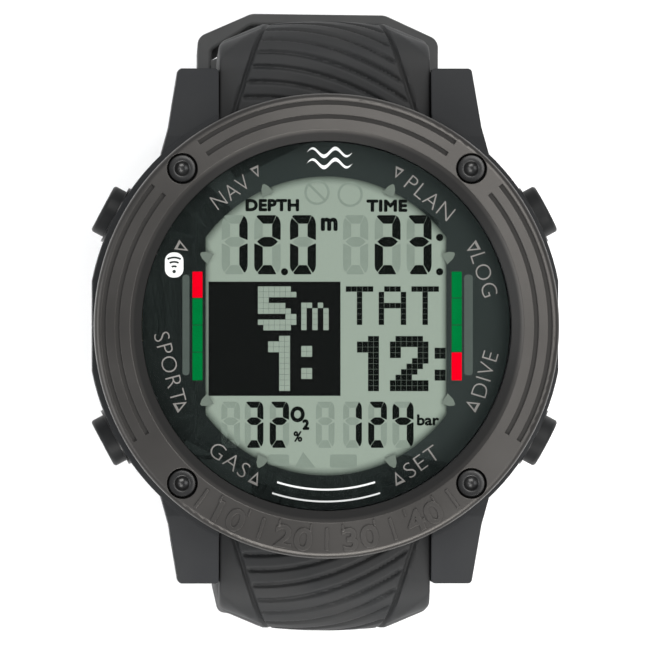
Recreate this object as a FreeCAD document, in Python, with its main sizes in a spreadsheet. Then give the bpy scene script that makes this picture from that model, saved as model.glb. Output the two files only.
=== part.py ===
import FreeCAD, Part
import math
import os
import re

import Sketcher

from FreeCAD import Placement, Rotation, Vector

# A wrist dive computer: a round case with horns, a screwed front bezel over a thick glass,
# four radial push buttons, a bayonet battery cap and a two-piece strap with a pin buckle.
# Frame: +Z out of the dial, +Y towards 12 o'clock, +X towards 3 o'clock, origin at the
# middle of the case back, millimetres. The strap hangs below the case as a loop and the
# tail of its long half lies flat, so the object stands on it.

doc = FreeCAD.newDocument("DiveComputer")
sheet = doc.addObject("Spreadsheet::Sheet", "Sizes")

# name, size in mm (or degrees), what it is
sizes = [
    ("caseRadius", 27.0, "round wall of the case"),
    ("bayRadius", 26.15, "case wall between the horns, behind the strap ends"),
    ("caseWidth", 53.0, "across the two flats at 3 and 9 o'clock"),
    ("deckHeight", 11.4, "top of the case wall, where the bezel sits"),
    ("backRound", 2.4, "round between case wall and case back"),
    ("cavityRadius", 21.0, "inside of the case"),
    ("cavityFloor", 7.8, "floor under the circuit board"),
    ("wellRoof", 0.8, "wall between battery well and circuit board"),
    ("tubWall", 1.2, "wall round the battery well"),
    ("trenchFloor", 4.0, "floor of the side pockets that hold the switches"),
    ("trenchHalf", 17.4, "half length of the side pockets along Y"),
    ("shelfHeight", 1.3, "upstand that carries the glass gasket"),
    ("shelfWall", 1.0, "width of that upstand"),
    ("hornReach", 29.35, "horn tips from the centre along Y"),
    ("hornTipHalf", 16.7, "outer corner of a horn tip from the centre along X"),
    ("hornRootHalf", 17.8, "outer edge of a horn where its taper ends"),
    ("hornRootReach", 22.6, "where that taper ends along Y"),
    ("hornBlendHalf", 18.75, "where the horn runs out into the round wall, along X"),
    ("hornBlendReach", 19.2, "where the horn runs out into the round wall, along Y"),
    ("hornTop", 10.4, "top of a horn at its root"),
    ("hornDrop", 1.9, "fall of the horn top towards its tip"),
    ("hornFoot", 0.7, "underside of a horn at its root"),
    ("hornTipRound", 0.5, "round of the horn tip corners"),
    ("strapWidth", 24.0, "strap, all along"),
    ("strapSideGap", 0.1, "gap between strap and horn, each side"),
    ("lugPinReach", 25.2, "lug pin from the centre along Y"),
    ("lugPinHeight", 3.6, "lug pin above the case back"),
    ("lugPinRadius", 1.0, "lug pin"),
    ("eyeRadius", 3.2, "rounded end of the strap round its lug pin"),
    ("recessRadius", 4.9, "hollow in the case that the strap end turns in"),
    ("recessRoof", 2.0, "case wall left above that hollow"),
    ("runningGap", 0.05, "radial gap of a pin in its hole"),
    ("bodyGap", 0.3, "gap between surfaces that pass each other"),
    ("bezelRadius", 26.4, "outside of the front bezel"),
    ("bezelHeight", 5.8, "bezel from the deck to its top"),
    ("bezelFall", 0.35, "fall of the bezel top from its inner to its outer edge"),
    ("bezelRound", 0.7, "round at the outer top edge"),
    ("bezelLand", 22.35, "inner edge of the bezel's top face"),
    ("windowRadius", 21.0, "visible glass"),
    ("lipHeight", 0.25, "straight edge of the bezel against the glass"),
    ("grooveOuter", 25.36, "outer of the two grooves"),
    ("grooveInner", 23.78, "inner of the two grooves"),
    ("grooveWidth", 0.5, "width of a groove"),
    ("grooveDepth", 0.34, "depth of a groove"),
    ("lensRadius", 21.95, "glass"),
    ("lensThickness", 2.5, "glass"),
    ("lensGap", 0.1, "gap between the glass and the bezel wall"),
    ("gasketHeight", 0.8, "glass gasket"),
    ("screwHalf", 16.4, "bezel screws from the centre along X"),
    ("screwReach", 17.85, "bezel screws from the centre along Y"),
    ("screwRadius", 1.0, "shank of a bezel screw"),
    ("screwHeadRadius", 1.6, "head of a bezel screw"),
    ("screwHeadHeight", 1.5, "head of a bezel screw"),
    ("screwSink", 0.75, "screw head below the bezel top"),
    ("screwLength", 10.0, "shank of a bezel screw"),
    ("socketRadius", 0.72, "hexagon socket, across its corners, halved"),
    ("headGap", 0.16, "gap round a screw head in its counterbore"),
    ("maskThickness", 0.3, "printed mask under the glass"),
    ("displayHalfWidth", 13.7, "half width of the display window"),
    ("displayRadius", 17.0, "rounded top and bottom of the display window"),
    ("cellHalfWidth", 14.8, "half width of the display cell"),
    ("cellRadius", 19.4, "rounded ends of the display cell"),
    ("cellThickness", 1.5, "display cell"),
    ("backlightThickness", 0.8, "backlight plate"),
    ("backlightHalf", 16.0, "half length of the backlight plate"),
    ("carrierFloor", 0.5, "floor of the display carrier"),
    ("fitGap", 0.1, "gap round parts that drop into each other"),
    ("connectorLength", 13.0, "zebra strip"),
    ("connectorWidth", 1.4, "zebra strip"),
    ("connectorReach", 17.2, "zebra strips from the centre along Y"),
    ("boardRadius", 20.4, "circuit board"),
    ("boardThickness", 0.8, "circuit board"),
    ("boardLift", 0.8, "circuit board above the cavity floor"),
    ("chipHeight", 0.8, "tallest part on the board"),
    ("switchDepth", 2.0, "key switch along its push direction"),
    ("switchWidth", 4.0, "key switch"),
    ("switchHeight", 3.0, "key switch"),
    ("buzzerRadius", 7.0, "buzzer disc"),
    ("buzzerThickness", 0.4, "buzzer disc"),
    ("batteryRadius", 12.25, "coin cell"),
    ("batteryHeight", 5.0, "coin cell"),
    ("batteryStep", 0.6, "raised pole of the coin cell"),
    ("capRadius", 14.8, "flange of the battery cap"),
    ("capFlange", 1.5, "thickness of the flange"),
    ("capFloor", 1.2, "thickness under the coin cell"),
    ("capNeck", 13.6, "neck of the battery cap"),
    ("capHeight", 4.3, "battery cap over all"),
    ("capGrip", 0.7, "depth of the two grip recesses"),
    ("capBar", 4.4, "width of the bar between them"),
    ("bayonetReach", 1.0, "bayonet lugs beyond the neck"),
    ("bayonetHeight", 0.95, "bayonet lugs"),
    ("bayonetSweep", 36.0, "angle that one bayonet lug covers"),
    ("sealRoom", 1.0, "depth of the cap seal's seat between flange and ledge"),
    ("ledgeThickness", 0.8, "ledge in the case that the bayonet lugs lock under"),
    ("capGap", 0.2, "gap round the battery cap"),
    ("sensorReach", 19.2, "pressure sensor and contacts from the centre along X"),
    ("sensorRadius", 3.3, "pressure sensor"),
    ("sensorNeck", 2.2, "neck of the pressure sensor"),
    ("sensorCover", 0.6, "thickness of the vented cover"),
    ("contactSpread", 7.2, "between the two water contacts"),
    ("contactHead", 1.5, "head of a water contact"),
    ("contactShank", 0.8, "shank of a water contact"),
    ("buttonAngle", 28.0, "buttons above and below the 3-9 line"),
    ("buttonHeight", 6.6, "button axis above the case back"),
    ("buttonReach", 28.65, "outer face of a button from the centre"),
    ("buttonRadius", 2.9, "button cap"),
    ("buttonLength", 3.65, "button cap"),
    ("buttonRound", 0.35, "edge round of a button"),
    ("buttonGap", 0.1, "radial gap between cap and bush"),
    ("buttonTravel", 0.9, "stroke of a button"),
    ("bushWall", 0.45, "wall of a button bush"),
    ("bushReach", 27.1, "outer end of a bush from the centre"),
    ("bushFloor", 0.6, "floor of a bush"),
    ("bushFoot", 23.4, "inner end of a bush from the centre"),
    ("stemRadius", 1.0, "button stem"),
    ("stemEnd", 20.2, "inner end of a stem from the centre"),
    ("stemGroove", 0.25, "depth of the seal groove in a stem"),
    ("sealWidth", 0.6, "button seal along its stem"),
    ("sealReach", 22.0, "button seal from the centre"),
    ("sealRadius", 1.55, "outside of a button seal"),
    ("clipRadius", 1.9, "retaining clip"),
    ("clipThickness", 0.4, "retaining clip"),
    ("springRadius", 1.6, "button spring, middle of its wire"),
    ("springWire", 0.16, "radius of the spring wire"),
    ("springRecess", 1.6, "depth of the spring hollow in a button"),
    ("springTurns", 4.0, "turns of a button spring"),
    ("padTop", 8.0, "top of the strap where it leaves the case"),
    ("shoulderReach", 29.0, "middle of the strap's shoulder round along Y"),
    ("shoulderRound", 5.5, "shoulder round, outside"),
    ("strapThickness", 4.0, "upper strap half"),
    ("upperLean", 12.0, "lean of the upper half towards the wrist, degrees"),
    ("upperLength", 42.0, "upper half from its shoulder to the buckle pin"),
    ("lowerLean", 4.0, "lean of the lower half towards the wrist, degrees"),
    ("tailThickness", 3.2, "lower strap half"),
    ("tailTurn", 26.0, "outer round between the lower half's leg and its tail"),
    ("tailReach", 31.5, "tip of the tail beyond the centre"),
    ("tailTip", 11.0, "corner round of the tail's tip"),
    ("holePitch", 7.0, "between strap holes"),
    ("holeLength", 3.6, "strap hole across the strap"),
    ("holeWidth", 2.4, "strap hole along the strap"),
    ("holeInset", 12.0, "first hole from the tip"),
    ("bucklePinRadius", 0.9, "buckle pin"),
    ("buckleEye", 2.4, "rounded end of the strap round the buckle pin"),
    ("notchWidth", 3.4, "notch for the tongue"),
    ("notchDepth", 5.0, "notch for the tongue, from the pin"),
    ("frameArm", 2.3, "width of a buckle arm"),
    ("frameThickness", 2.6, "buckle frame"),
    ("frameLength", 15.5, "buckle pin to the middle of the far bar"),
    ("frameBar", 3.0, "far bar of the buckle"),
    ("frameRound", 2.4, "outer corner round of the buckle"),
    ("tongueWidth", 2.6, "buckle tongue"),
    ("tongueThickness", 1.1, "buckle tongue"),
    ("tongueHub", 1.9, "hub of the tongue round the pin"),
    ("tongueOver", 0.4, "tongue tip past the middle of the far bar"),
    ("tailClearance", 0.6, "hanging buckle above the tail"),
    ("keeperSide", 1.4, "keeper beside the strap"),
    ("keeperHeight", 6.0, "keeper along the strap"),
    ("keeperWall", 1.4, "keeper"),
    ("keeperRoom", 3.6, "room for the tail under a keeper"),
    ("keeperBevel", 6.0, "outer bevel of a keeper across the strap"),
    ("keeperBevelDrop", 2.6, "outer bevel of a keeper, depth"),
    ("freeKeeper", 18.0, "free keeper's middle, from the shoulder"),
    ("fixedKeeper", 33.0, "fixed keeper's middle, from the shoulder"),
    ("lugScrewHead", 1.5, "head of a lug screw"),
    ("lugScrewDepth", 1.0, "head of a lug screw"),
    ("lugPinHalf", 14.2, "half length of the lug tube"),
    ("lugScrewFace", 16.6, "outer face of the lug screws from the centre"),
    ("lugScrewShank", 0.6, "shank of a lug screw"),
]

for row, (alias, amount, meaning) in enumerate(sizes, start=1):
    sheet.set(f"A{row}", meaning)
    sheet.set(f"B{row}", str(amount))
    sheet.setAlias(f"B{row}", alias)
doc.recompute()

aliasNames = {alias for alias, amount, meaning in sizes}


def bind(text):
    """An expression with the sheet's name put before each size."""
    def named(found):
        word = found.group()
        return "Sizes." + word if word in aliasNames else word
    return re.sub(r"[A-Za-z]\w*", named, str(text))


def value(text):
    """The number that such an expression gives now."""
    return float(sheet.evalExpression(bind(text)))


# Levels and reaches that several parts share, as expressions of the sheet's sizes.
shelfTop = "(deckHeight + shelfHeight)"
lensBottom = f"({shelfTop} + gasketHeight)"
lensTop = f"({lensBottom} + lensThickness)"
bezelTop = "(deckHeight + bezelHeight)"
lensWall = "(lensRadius + lensGap)"
maskBottom = f"({lensBottom} - maskThickness)"
cellBottom = f"({maskBottom} - cellThickness)"
backlightBottom = f"({cellBottom} - backlightThickness)"
carrierBottom = f"({backlightBottom} - carrierFloor)"
carrierRadius = "(cavityRadius - 2 * fitGap)"
boardBottom = "(cavityFloor + boardLift)"
boardTop = f"({boardBottom} + boardThickness)"
wellRadius = "(capRadius + capGap)"
wellTop = "(cavityFloor - wellRoof)"
tubRadius = f"({wellRadius} + tubWall)"
hornInner = "(strapWidth / 2 + strapSideGap)"
bushRadius = "(buttonRadius + buttonGap + bushWall)"
screwSeat = f"({bezelTop} - screwSink - screwHeadHeight)"
frameInner = "(strapWidth / 2 + bodyGap)"
frameOuter = f"({frameInner} + frameArm)"
buckleReach = ("(shoulderReach + shoulderRound * cos(upperLean) - strapThickness / 2 * cos(upperLean)"
               " - upperLength * sin(upperLean))")
buckleHeight = ("(padTop - shoulderRound - shoulderRound * sin(upperLean) + strapThickness / 2 * sin(upperLean)"
                " - upperLength * cos(upperLean))")
tailTop = f"({buckleHeight} - frameLength - frameBar / 2 - tailClearance)"
tailBottom = f"({tailTop} - tailThickness)"

parts = {}


def keep(label, obj):
    """Names a finished sub-part; its label is also its file's name."""
    obj.Label = label
    parts[label] = obj
    return obj


def place(obj, x="0", y="0", z="0", turn=None):
    """Puts an object at three expressions, turned by a fixed rotation."""
    if turn is not None:
        obj.Placement = Placement(Vector(), turn)
    for axis, text in zip("xyz", (x, y, z)):
        obj.setExpression(f"Placement.Base.{axis}", bind(text))
    return obj


def cylinder(name, radius, height, x="0", y="0", z="0", turn=None):
    obj = doc.addObject("Part::Cylinder", name)
    obj.setExpression("Radius", bind(radius))
    obj.setExpression("Height", bind(height))
    return place(obj, x, y, z, turn)


def box(name, length, width, height, x="0", y="0", z="0"):
    """A box centred on x and y that stands on z."""
    obj = doc.addObject("Part::Box", name)
    obj.setExpression("Length", bind(length))
    obj.setExpression("Width", bind(width))
    obj.setExpression("Height", bind(height))
    return place(obj, f"{x} - ({length}) / 2", f"{y} - ({width}) / 2", z)


def cut(name, base, *tools):
    tool = tools[0] if len(tools) == 1 else fuse(name + "Tools", *tools)
    obj = doc.addObject("Part::Cut", name)
    obj.Base = base
    obj.Tool = tool
    return obj


def fuse(name, *shapes):
    obj = doc.addObject("Part::MultiFuse", name)
    obj.Shapes = list(shapes)
    obj.Refine = True
    return obj


def common(name, first, second):
    obj = doc.addObject("Part::MultiCommon", name)
    obj.Shapes = [first, second]
    return obj


def group(name, *shapes):
    """Separate solids that share one node."""
    obj = doc.addObject("Part::Compound", name)
    obj.Links = list(shapes)
    return obj


def body(name):
    return doc.addObject("PartDesign::Body", name)


def sketch(owner, name, role, offset=None):
    """A sketch on one of the body's own origin planes."""
    plane = next(f for f in owner.Origin.OriginFeatures if f.Role == role)
    obj = owner.newObject("Sketcher::SketchObject", name)
    obj.AttachmentSupport = [(plane, "")]
    obj.MapMode = "FlatFace"
    if offset is not None:
        obj.setExpression("AttachmentOffset.Base.z", bind(offset))
    return obj


def pin(obj, geometry, vertex, x, y):
    """Ties one sketch point to two expressions."""
    for kind, text in (("DistanceX", x), ("DistanceY", y)):
        index = obj.addConstraint(Sketcher.Constraint(kind, -1, 1, geometry, vertex, value(text)))
        obj.setExpression(f"Constraints[{index}]", bind(text))


def circle(obj, radius, x="0", y="0"):
    index = obj.addGeometry(Part.Circle(Vector(value(x), value(y), 0), Vector(0, 0, 1), value(radius)))
    size = obj.addConstraint(Sketcher.Constraint("Radius", index, value(radius)))
    obj.setExpression(f"Constraints[{size}]", bind(radius))
    pin(obj, index, 3, x, y)


def outline(obj, corners):
    """A closed outline. A corner is (x, y) or, rounded, (x, y, radius)."""
    spots = [Vector(value(c[0]), value(c[1]), 0) for c in corners]
    count = len(corners)
    ends = []
    rounds = []
    for i, corner in enumerate(corners):
        if len(corner) == 2:
            ends.append((spots[i], spots[i]))
            rounds.append(None)
            continue
        towards = (spots[i - 1] - spots[i]).normalize()
        away = (spots[(i + 1) % count] - spots[i]).normalize()
        radius = value(corner[2])
        half = towards.getAngle(away) / 2
        setback = radius / math.tan(half)
        middle = spots[i] + (towards + away).normalize() * (radius / math.sin(half))
        first = spots[i] + towards * setback
        last = spots[i] + away * setback
        through = middle + (spots[i] - middle).normalize() * radius
        ends.append((first, last))
        rounds.append(Part.Arc(first, through, last))
    lines = []
    for i in range(count):
        lines.append(obj.addGeometry(Part.LineSegment(ends[i][1], ends[(i + 1) % count][0])))
    for i, corner in enumerate(corners):
        before = lines[i - 1]
        after = lines[i]
        if rounds[i] is None:
            obj.addConstraint(Sketcher.Constraint("Coincident", before, 2, after, 1))
            pin(obj, after, 1, corner[0], corner[1])
            continue
        arc = obj.addGeometry(rounds[i])
        tip = obj.addGeometry(Part.Point(spots[i]), True)
        start, end = (1, 2) if obj.getPoint(arc, 1).distanceToPoint(ends[i][0]) < 1e-6 else (2, 1)
        obj.addConstraint(Sketcher.Constraint("Tangent", before, 2, arc, start))
        obj.addConstraint(Sketcher.Constraint("Tangent", arc, end, after, 1))
        size = obj.addConstraint(Sketcher.Constraint("Radius", arc, value(corner[2])))
        obj.setExpression(f"Constraints[{size}]", bind(corner[2]))
        obj.addConstraint(Sketcher.Constraint("PointOnObject", tip, 1, before))
        obj.addConstraint(Sketcher.Constraint("PointOnObject", tip, 1, after))
        pin(obj, tip, 1, corner[0], corner[1])


def pad(owner, profile, length, symmetric=False, reverse=False):
    obj = owner.newObject("PartDesign::Pad", profile.Name + "Pad")
    obj.Profile = profile
    obj.SideType = "Symmetric" if symmetric else "One side"
    obj.Reversed = reverse
    obj.setExpression("Length", bind(length))
    doc.recompute()
    return obj


def pocket(owner, profile, length, symmetric=False, reverse=False):
    """A pocket, checked to have taken something away."""
    before = owner.Shape.Volume
    obj = owner.newObject("PartDesign::Pocket", profile.Name + "Pocket")
    obj.Profile = profile
    obj.SideType = "Symmetric" if symmetric else "One side"
    obj.Reversed = reverse
    obj.setExpression("Length", bind(length))
    doc.recompute()
    if not owner.Shape.Volume < before - 1e-3:
        raise RuntimeError(f"{profile.Name} cuts nothing")
    return obj


def revolve(owner, profile, kind="PartDesign::Revolution", angle=360.0):
    obj = owner.newObject(kind, profile.Name + kind.split("::")[1])
    obj.Profile = profile
    obj.ReferenceAxis = (profile, ["V_Axis"])
    obj.Angle = angle
    doc.recompute()
    return obj


def turned(name, corners):
    """A body turned about Z from an outline of (radius, height) corners."""
    owner = body(name)
    profile = sketch(owner, name + "Section", "XZ_Plane")
    outline(profile, corners)
    revolve(owner, profile)
    return owner


def tube(name, outer, inner, height, x="0", y="0", z="0", turn=None):
    """A plain ring or tube."""
    owner = body(name)
    profile = sketch(owner, name + "Section", "XY_Plane")
    circle(profile, outer)
    circle(profile, inner)
    pad(owner, profile, height)
    return place(owner, x, y, z, turn)


# ---- case -------------------------------------------------------------------------------

caseBlank = turned("CaseBlank", [
    ("0", "0"),
    ("caseRadius", "0", "backRound"),
    ("caseRadius", "deckHeight"),
    ("cavityRadius + shelfWall", "deckHeight"),
    ("cavityRadius + shelfWall", shelfTop),
    ("0", shelfTop),
])
hornPlan = sketch(caseBlank, "HornPlan", "XY_Plane", "hornFoot")
for sideX in (1, -1):
    for sideY in (1, -1):
        outline(hornPlan, [
            (f"{sideX} * {hornInner}", f"{sideY} * (hornBlendReach - 3)"),
            (f"{sideX} * {hornInner}", f"{sideY} * hornReach", "hornTipRound"),
            (f"{sideX} * hornTipHalf", f"{sideY} * hornReach", "hornTipRound"),
            (f"{sideX} * hornRootHalf", f"{sideY} * hornRootReach"),
            (f"{sideX} * hornBlendHalf", f"{sideY} * hornBlendReach"),
            (f"{sideX} * (hornBlendHalf - 2)", f"{sideY} * (hornBlendReach - 3)"),
        ])
pad(caseBlank, hornPlan, "hornTop - hornFoot")
for sideY in (1, -1):
    slope = sketch(caseBlank, "HornSlope" + ("Upper" if sideY > 0 else "Lower"), "YZ_Plane")
    outline(slope, [
        (f"{sideY} * (hornRootReach - 1)", "hornTop + 0.01"),
        (f"{sideY} * (hornReach + 1)", "hornTop + 0.01"),
        (f"{sideY} * (hornReach + 1)", "hornTop - hornDrop"),
    ])
    pocket(caseBlank, slope, "4 * hornRootHalf", symmetric=True)
flats = sketch(caseBlank, "Flats", "XY_Plane", "0 - 1")
for sideX in (1, -1):
    outline(flats, [
        (f"{sideX} * caseWidth / 2", "0 - caseRadius / 2"),
        (f"{sideX} * (caseRadius + 2)", "0 - caseRadius / 2"),
        (f"{sideX} * (caseRadius + 2)", "caseRadius / 2"),
        (f"{sideX} * caseWidth / 2", "caseRadius / 2"),
    ])
pocket(caseBlank, flats, "deckHeight + 2", reverse=True)

alongX = Rotation(Vector(0, 1, 0), 90)
hollows = [cut(
    "Bay",
    box("BayBlock", f"2 * {hornInner}", "2 * caseRadius + 4", "deckHeight + 2", z="0 - 1"),
    cylinder("BayCore", "bayRadius", "deckHeight + 2", z="0 - 1"))]
for side, sign in (("Upper", 1), ("Lower", -1)):
    hollows.append(cylinder(
        "Recess" + side, "recessRadius", f"2 * {hornInner}",
        f"0 - {hornInner}", f"{sign} * lugPinReach", "lugPinHeight", alongX))
    hollows.append(box(
        "RecessMouth" + side, f"2 * {hornInner}", "2 * recessRadius", "deckHeight - recessRoof + 2",
        "0", f"{sign} * (lugPinReach + recessRadius)", "0 - 2"))
    hollows.append(cylinder(
        "LugHole" + side, "lugPinRadius", "2 * lugPinHalf",
        "0 - lugPinHalf", f"{sign} * lugPinReach", "lugPinHeight", alongX))
    hollows.append(cylinder(
        "LugShankHole" + side, "lugScrewShank", "4 * lugPinHalf",
        "0 - 2 * lugPinHalf", f"{sign} * lugPinReach", "lugPinHeight", alongX))
    for sideX in (1, -1):
        start = "lugScrewFace - lugScrewDepth" if sideX > 0 else "0 - lugScrewFace - 4"
        hollows.append(cylinder(
            f"LugSink{side}{'Right' if sideX > 0 else 'Left'}", "lugScrewHead", "lugScrewDepth + 4",
            start, f"{sign} * lugPinReach", "lugPinHeight", alongX))

hollows.append(cylinder("Cavity", "cavityRadius", f"{shelfTop} - cavityFloor + 1", z="cavityFloor"))
trench = common(
    "TrenchPlan",
    cylinder("TrenchRound", "cavityRadius", "cavityFloor - trenchFloor + 1", z="trenchFloor"),
    box("TrenchLimit", "4 * cavityRadius", "2 * trenchHalf", "cavityFloor", z="trenchFloor - 1"))
hollows.append(cut(
    "Trench", trench, cylinder("TubWall", tubRadius, "cavityFloor", z="trenchFloor - 1")))
ledgeTop = "(capFlange + sealRoom + ledgeThickness)"
hollows.append(cylinder("CapSeat", wellRadius, "capFlange + sealRoom + 1", z="0 - 1"))
hollows.append(cylinder("CapThroat", "capNeck + capGap", "cavityFloor - wellRoof"))
hollows.append(cylinder("Well", wellRadius, f"{wellTop} - {ledgeTop}", z=ledgeTop))


def sector(name, radius, height, sweep, heading, x="0", y="0", z="0"):
    """A pie slice whose middle points along a fixed heading."""
    obj = doc.addObject("Part::Cylinder", name)
    obj.setExpression("Radius", bind(radius))
    obj.setExpression("Height", bind(height))
    obj.setExpression("Angle", bind(sweep))
    obj.Placement = Placement(Vector(), Rotation(Vector(0, 0, 1), heading))
    obj.setExpression("Placement.Rotation.Angle", bind(f"{heading} - ({sweep}) / 2"))
    return place(obj, x, y, z)


bayonetHeadings = (60, 180, 300)
for number, heading in enumerate(bayonetHeadings, start=1):
    hollows.append(sector(f"BayonetEntry{number}", wellRadius, "cavityFloor - wellRoof", "bayonetSweep + 6", heading))

for sideX in (1, -1):
    for sideY in (1, -1):
        name = f"{'Right' if sideX > 0 else 'Left'}{'Upper' if sideY > 0 else 'Lower'}"
        hollows.append(cylinder(
            "ScrewHole" + name, "screwRadius", f"{screwSeat} + 1 - ({screwSeat} - screwLength)",
            f"{sideX} * screwHalf", f"{sideY} * screwReach", f"{screwSeat} - screwLength"))

hollows.append(cylinder("SensorHole", "sensorRadius + fitGap", "trenchFloor - 0.6", "0 - sensorReach"))
hollows.append(cylinder("SensorNeckHole", "sensorNeck + fitGap", "trenchFloor + 1", "0 - sensorReach"))
for sign in (1, -1):
    name = "Upper" if sign > 0 else "Lower"
    hollows.append(cylinder(
        "ContactSink" + name, "contactHead + fitGap", "1", "sensorReach", f"{sign} * contactSpread / 2"))
    hollows.append(cylinder(
        "ContactHole" + name, "contactShank", "trenchFloor + 1", "sensorReach", f"{sign} * contactSpread / 2"))

# name, heading of the button round the case
buttons = [
    ("right_upper", "buttonAngle"),
    ("left_upper", "180 - buttonAngle"),
    ("left_lower", "180 + buttonAngle"),
    ("right_lower", "0 - buttonAngle"),
]


def radial(obj, heading, distance, height="buttonHeight"):
    """Turns an object that was made along +Z to point outwards at a heading and moves it out."""
    angle = math.radians(value(heading))
    outward = Vector(math.cos(angle), math.sin(angle), 0)
    obj.Placement = Placement(Vector(), Rotation(Vector(0, 0, 1), outward))
    obj.setExpression("Placement.Base.x", bind(f"({distance}) * cos({heading})"))
    obj.setExpression("Placement.Base.y", bind(f"({distance}) * sin({heading})"))
    obj.setExpression("Placement.Base.z", bind(height))
    return obj


for name, heading in buttons:
    bushHole = doc.addObject("Part::Cylinder", "BushHole_" + name)
    bushHole.setExpression("Radius", bind(bushRadius))
    bushHole.setExpression("Height", bind("caseRadius - bushFoot + 3"))
    hollows.append(radial(bushHole, heading, "bushFoot"))
    sealHole = doc.addObject("Part::Cylinder", "SealHole_" + name)
    sealHole.setExpression("Radius", bind("sealRadius + runningGap"))
    sealHole.setExpression("Height", bind("bushFoot - cavityRadius + 2"))
    hollows.append(radial(sealHole, heading, "cavityRadius - 1"))

keep("case_body", cut("CaseBody", caseBlank, *hollows))

# ---- front bezel and its screws ---------------------------------------------------------

bezelBlank = turned("BezelBlank", [
    (lensWall, "deckHeight"),
    ("bezelRadius", "deckHeight"),
    ("bezelRadius", f"{bezelTop} - bezelFall", "bezelRound"),
    ("bezelLand", bezelTop),
    ("windowRadius", f"{lensTop} + lipHeight"),
    ("windowRadius", lensTop),
    (lensWall, lensTop),
])


def grooveArc(name, radius, start, end):
    """A shallow groove in the bezel's top between two fixed headings."""
    ring = tube(name, f"{radius} + grooveWidth / 2", f"{radius} - grooveWidth / 2", "2 * grooveDepth + bezelFall")
    place(ring, z=f"{bezelTop} - grooveDepth - bezelFall * ({radius} - bezelLand) / (bezelRadius - bezelLand)")
    wedge = doc.addObject("Part::Cylinder", name + "Wedge")
    wedge.setExpression("Radius", bind("caseRadius + 2"))
    wedge.setExpression("Height", bind("bezelHeight + 2"))
    wedge.Angle = end - start
    wedge.Placement = Placement(Vector(), Rotation(Vector(0, 0, 1), start))
    place(wedge, z="deckHeight")
    return common(name + "Arc", ring, wedge)


bezelCuts = []
for ringName, radius in (("GrooveOuter", "grooveOuter"), ("GrooveInner", "grooveInner")):
    for arcName, start, end in (("Top", 55, 125), ("Right", -31, 39), ("Left", 141, 211)):
        bezelCuts.append(grooveArc(ringName + arcName, radius, start, end))
for sideX in (1, -1):
    for sideY in (1, -1):
        name = f"{'Right' if sideX > 0 else 'Left'}{'Upper' if sideY > 0 else 'Lower'}"
        bezelCuts.append(cylinder(
            "HeadSink" + name, "screwHeadRadius + headGap", "bezelHeight",
            f"{sideX} * screwHalf", f"{sideY} * screwReach", screwSeat))
        bezelCuts.append(cylinder(
            "BezelHole" + name, "screwRadius", "bezelHeight",
            f"{sideX} * screwHalf", f"{sideY} * screwReach", "deckHeight - 1"))
keep("front_bezel", cut("FrontBezel", bezelBlank, *bezelCuts))


def hexPrism(name, corner, height):
    obj = doc.addObject("Part::Prism", name)
    obj.Polygon = 6
    obj.setExpression("Circumradius", bind(corner))
    obj.setExpression("Height", bind(height))
    return obj


screws = []
for sideX in (1, -1):
    for sideY in (1, -1):
        name = f"Screw{'Right' if sideX > 0 else 'Left'}{'Upper' if sideY > 0 else 'Lower'}"
        blank = turned(name + "Blank", [
            ("0", "0 - screwLength"),
            ("screwRadius", "0 - screwLength"),
            ("screwRadius", "0"),
            ("screwHeadRadius", "0"),
            ("screwHeadRadius", "screwHeadHeight", "0.55"),
            ("0", "screwHeadHeight"),
        ])
        socket = place(hexPrism(name + "Socket", "socketRadius", "screwHeadHeight"), z="screwHeadHeight * 0.4")
        screw = cut(name, blank, socket)
        place(screw, f"{sideX} * screwHalf", f"{sideY} * screwReach", screwSeat)
        screws.append(screw)
keep("bezel_screws", group("BezelScrews", *screws))

# ---- glass, display and electronics -----------------------------------------------------

lens = turned("Lens", [
    ("0", lensBottom),
    ("lensRadius", lensBottom),
    ("lensRadius", lensTop),
    ("0", lensTop),
])
keep("lens", lens)
keep("lens_gasket", tube("LensGasket", "cavityRadius + shelfWall", "cavityRadius", "gasketHeight", z=shelfTop))


def roundedCell(name, halfWidth, radius, height, z, halfLength=None):
    """A disc with two straight sides, and two straight ends if a half length is given."""
    disc = cylinder(name + "Disc", radius, height, z=z)
    length = f"2 * ({halfLength})" if halfLength else f"4 * ({radius})"
    return common(name, disc, box(name + "Limit", f"2 * ({halfWidth})", length, height, z=z))


maskDisc = cylinder("MaskDisc", "cavityRadius - fitGap", "maskThickness", z=maskBottom)
maskWindow = roundedCell("MaskWindow", "displayHalfWidth", "displayRadius", "3 * maskThickness",
                         f"({maskBottom} - maskThickness)")
keep("display_mask", cut("DisplayMask", maskDisc, maskWindow))
keep("lcd_panel", roundedCell("LcdPanel", "cellHalfWidth", "cellRadius", "cellThickness", cellBottom))
keep("backlight_plate", roundedCell("BacklightPlate", "cellHalfWidth", "cellRadius", "backlightThickness",
                                    backlightBottom, "backlightHalf"))
carrierDisc = cylinder("CarrierDisc", carrierRadius, f"{maskBottom} - {carrierBottom}", z=carrierBottom)
carrierPocket = roundedCell("CarrierPocket", "cellHalfWidth + fitGap", "cellRadius + fitGap",
                            f"{maskBottom} - {backlightBottom} + 1", backlightBottom)
carrierSlots = [
    box(f"CarrierSlot{name}", "connectorLength + 2 * fitGap", "connectorWidth + 2 * fitGap",
        "4 * carrierFloor", "0", f"{sign} * connectorReach", f"{carrierBottom} - carrierFloor")
    for name, sign in (("Upper", 1), ("Lower", -1))
]
keep("display_frame", cut("DisplayFrame", carrierDisc, carrierPocket, *carrierSlots))
keep("lcd_connectors", group("LcdConnectors", *[
    box(f"Connector{name}", "connectorLength", "connectorWidth", f"{cellBottom} - {boardTop}",
        "0", f"{sign} * connectorReach", boardTop)
    for name, sign in (("Upper", 1), ("Lower", -1))
]))

keep("circuit_board", cylinder("CircuitBoard", "boardRadius", "boardThickness", z=boardBottom))

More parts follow.
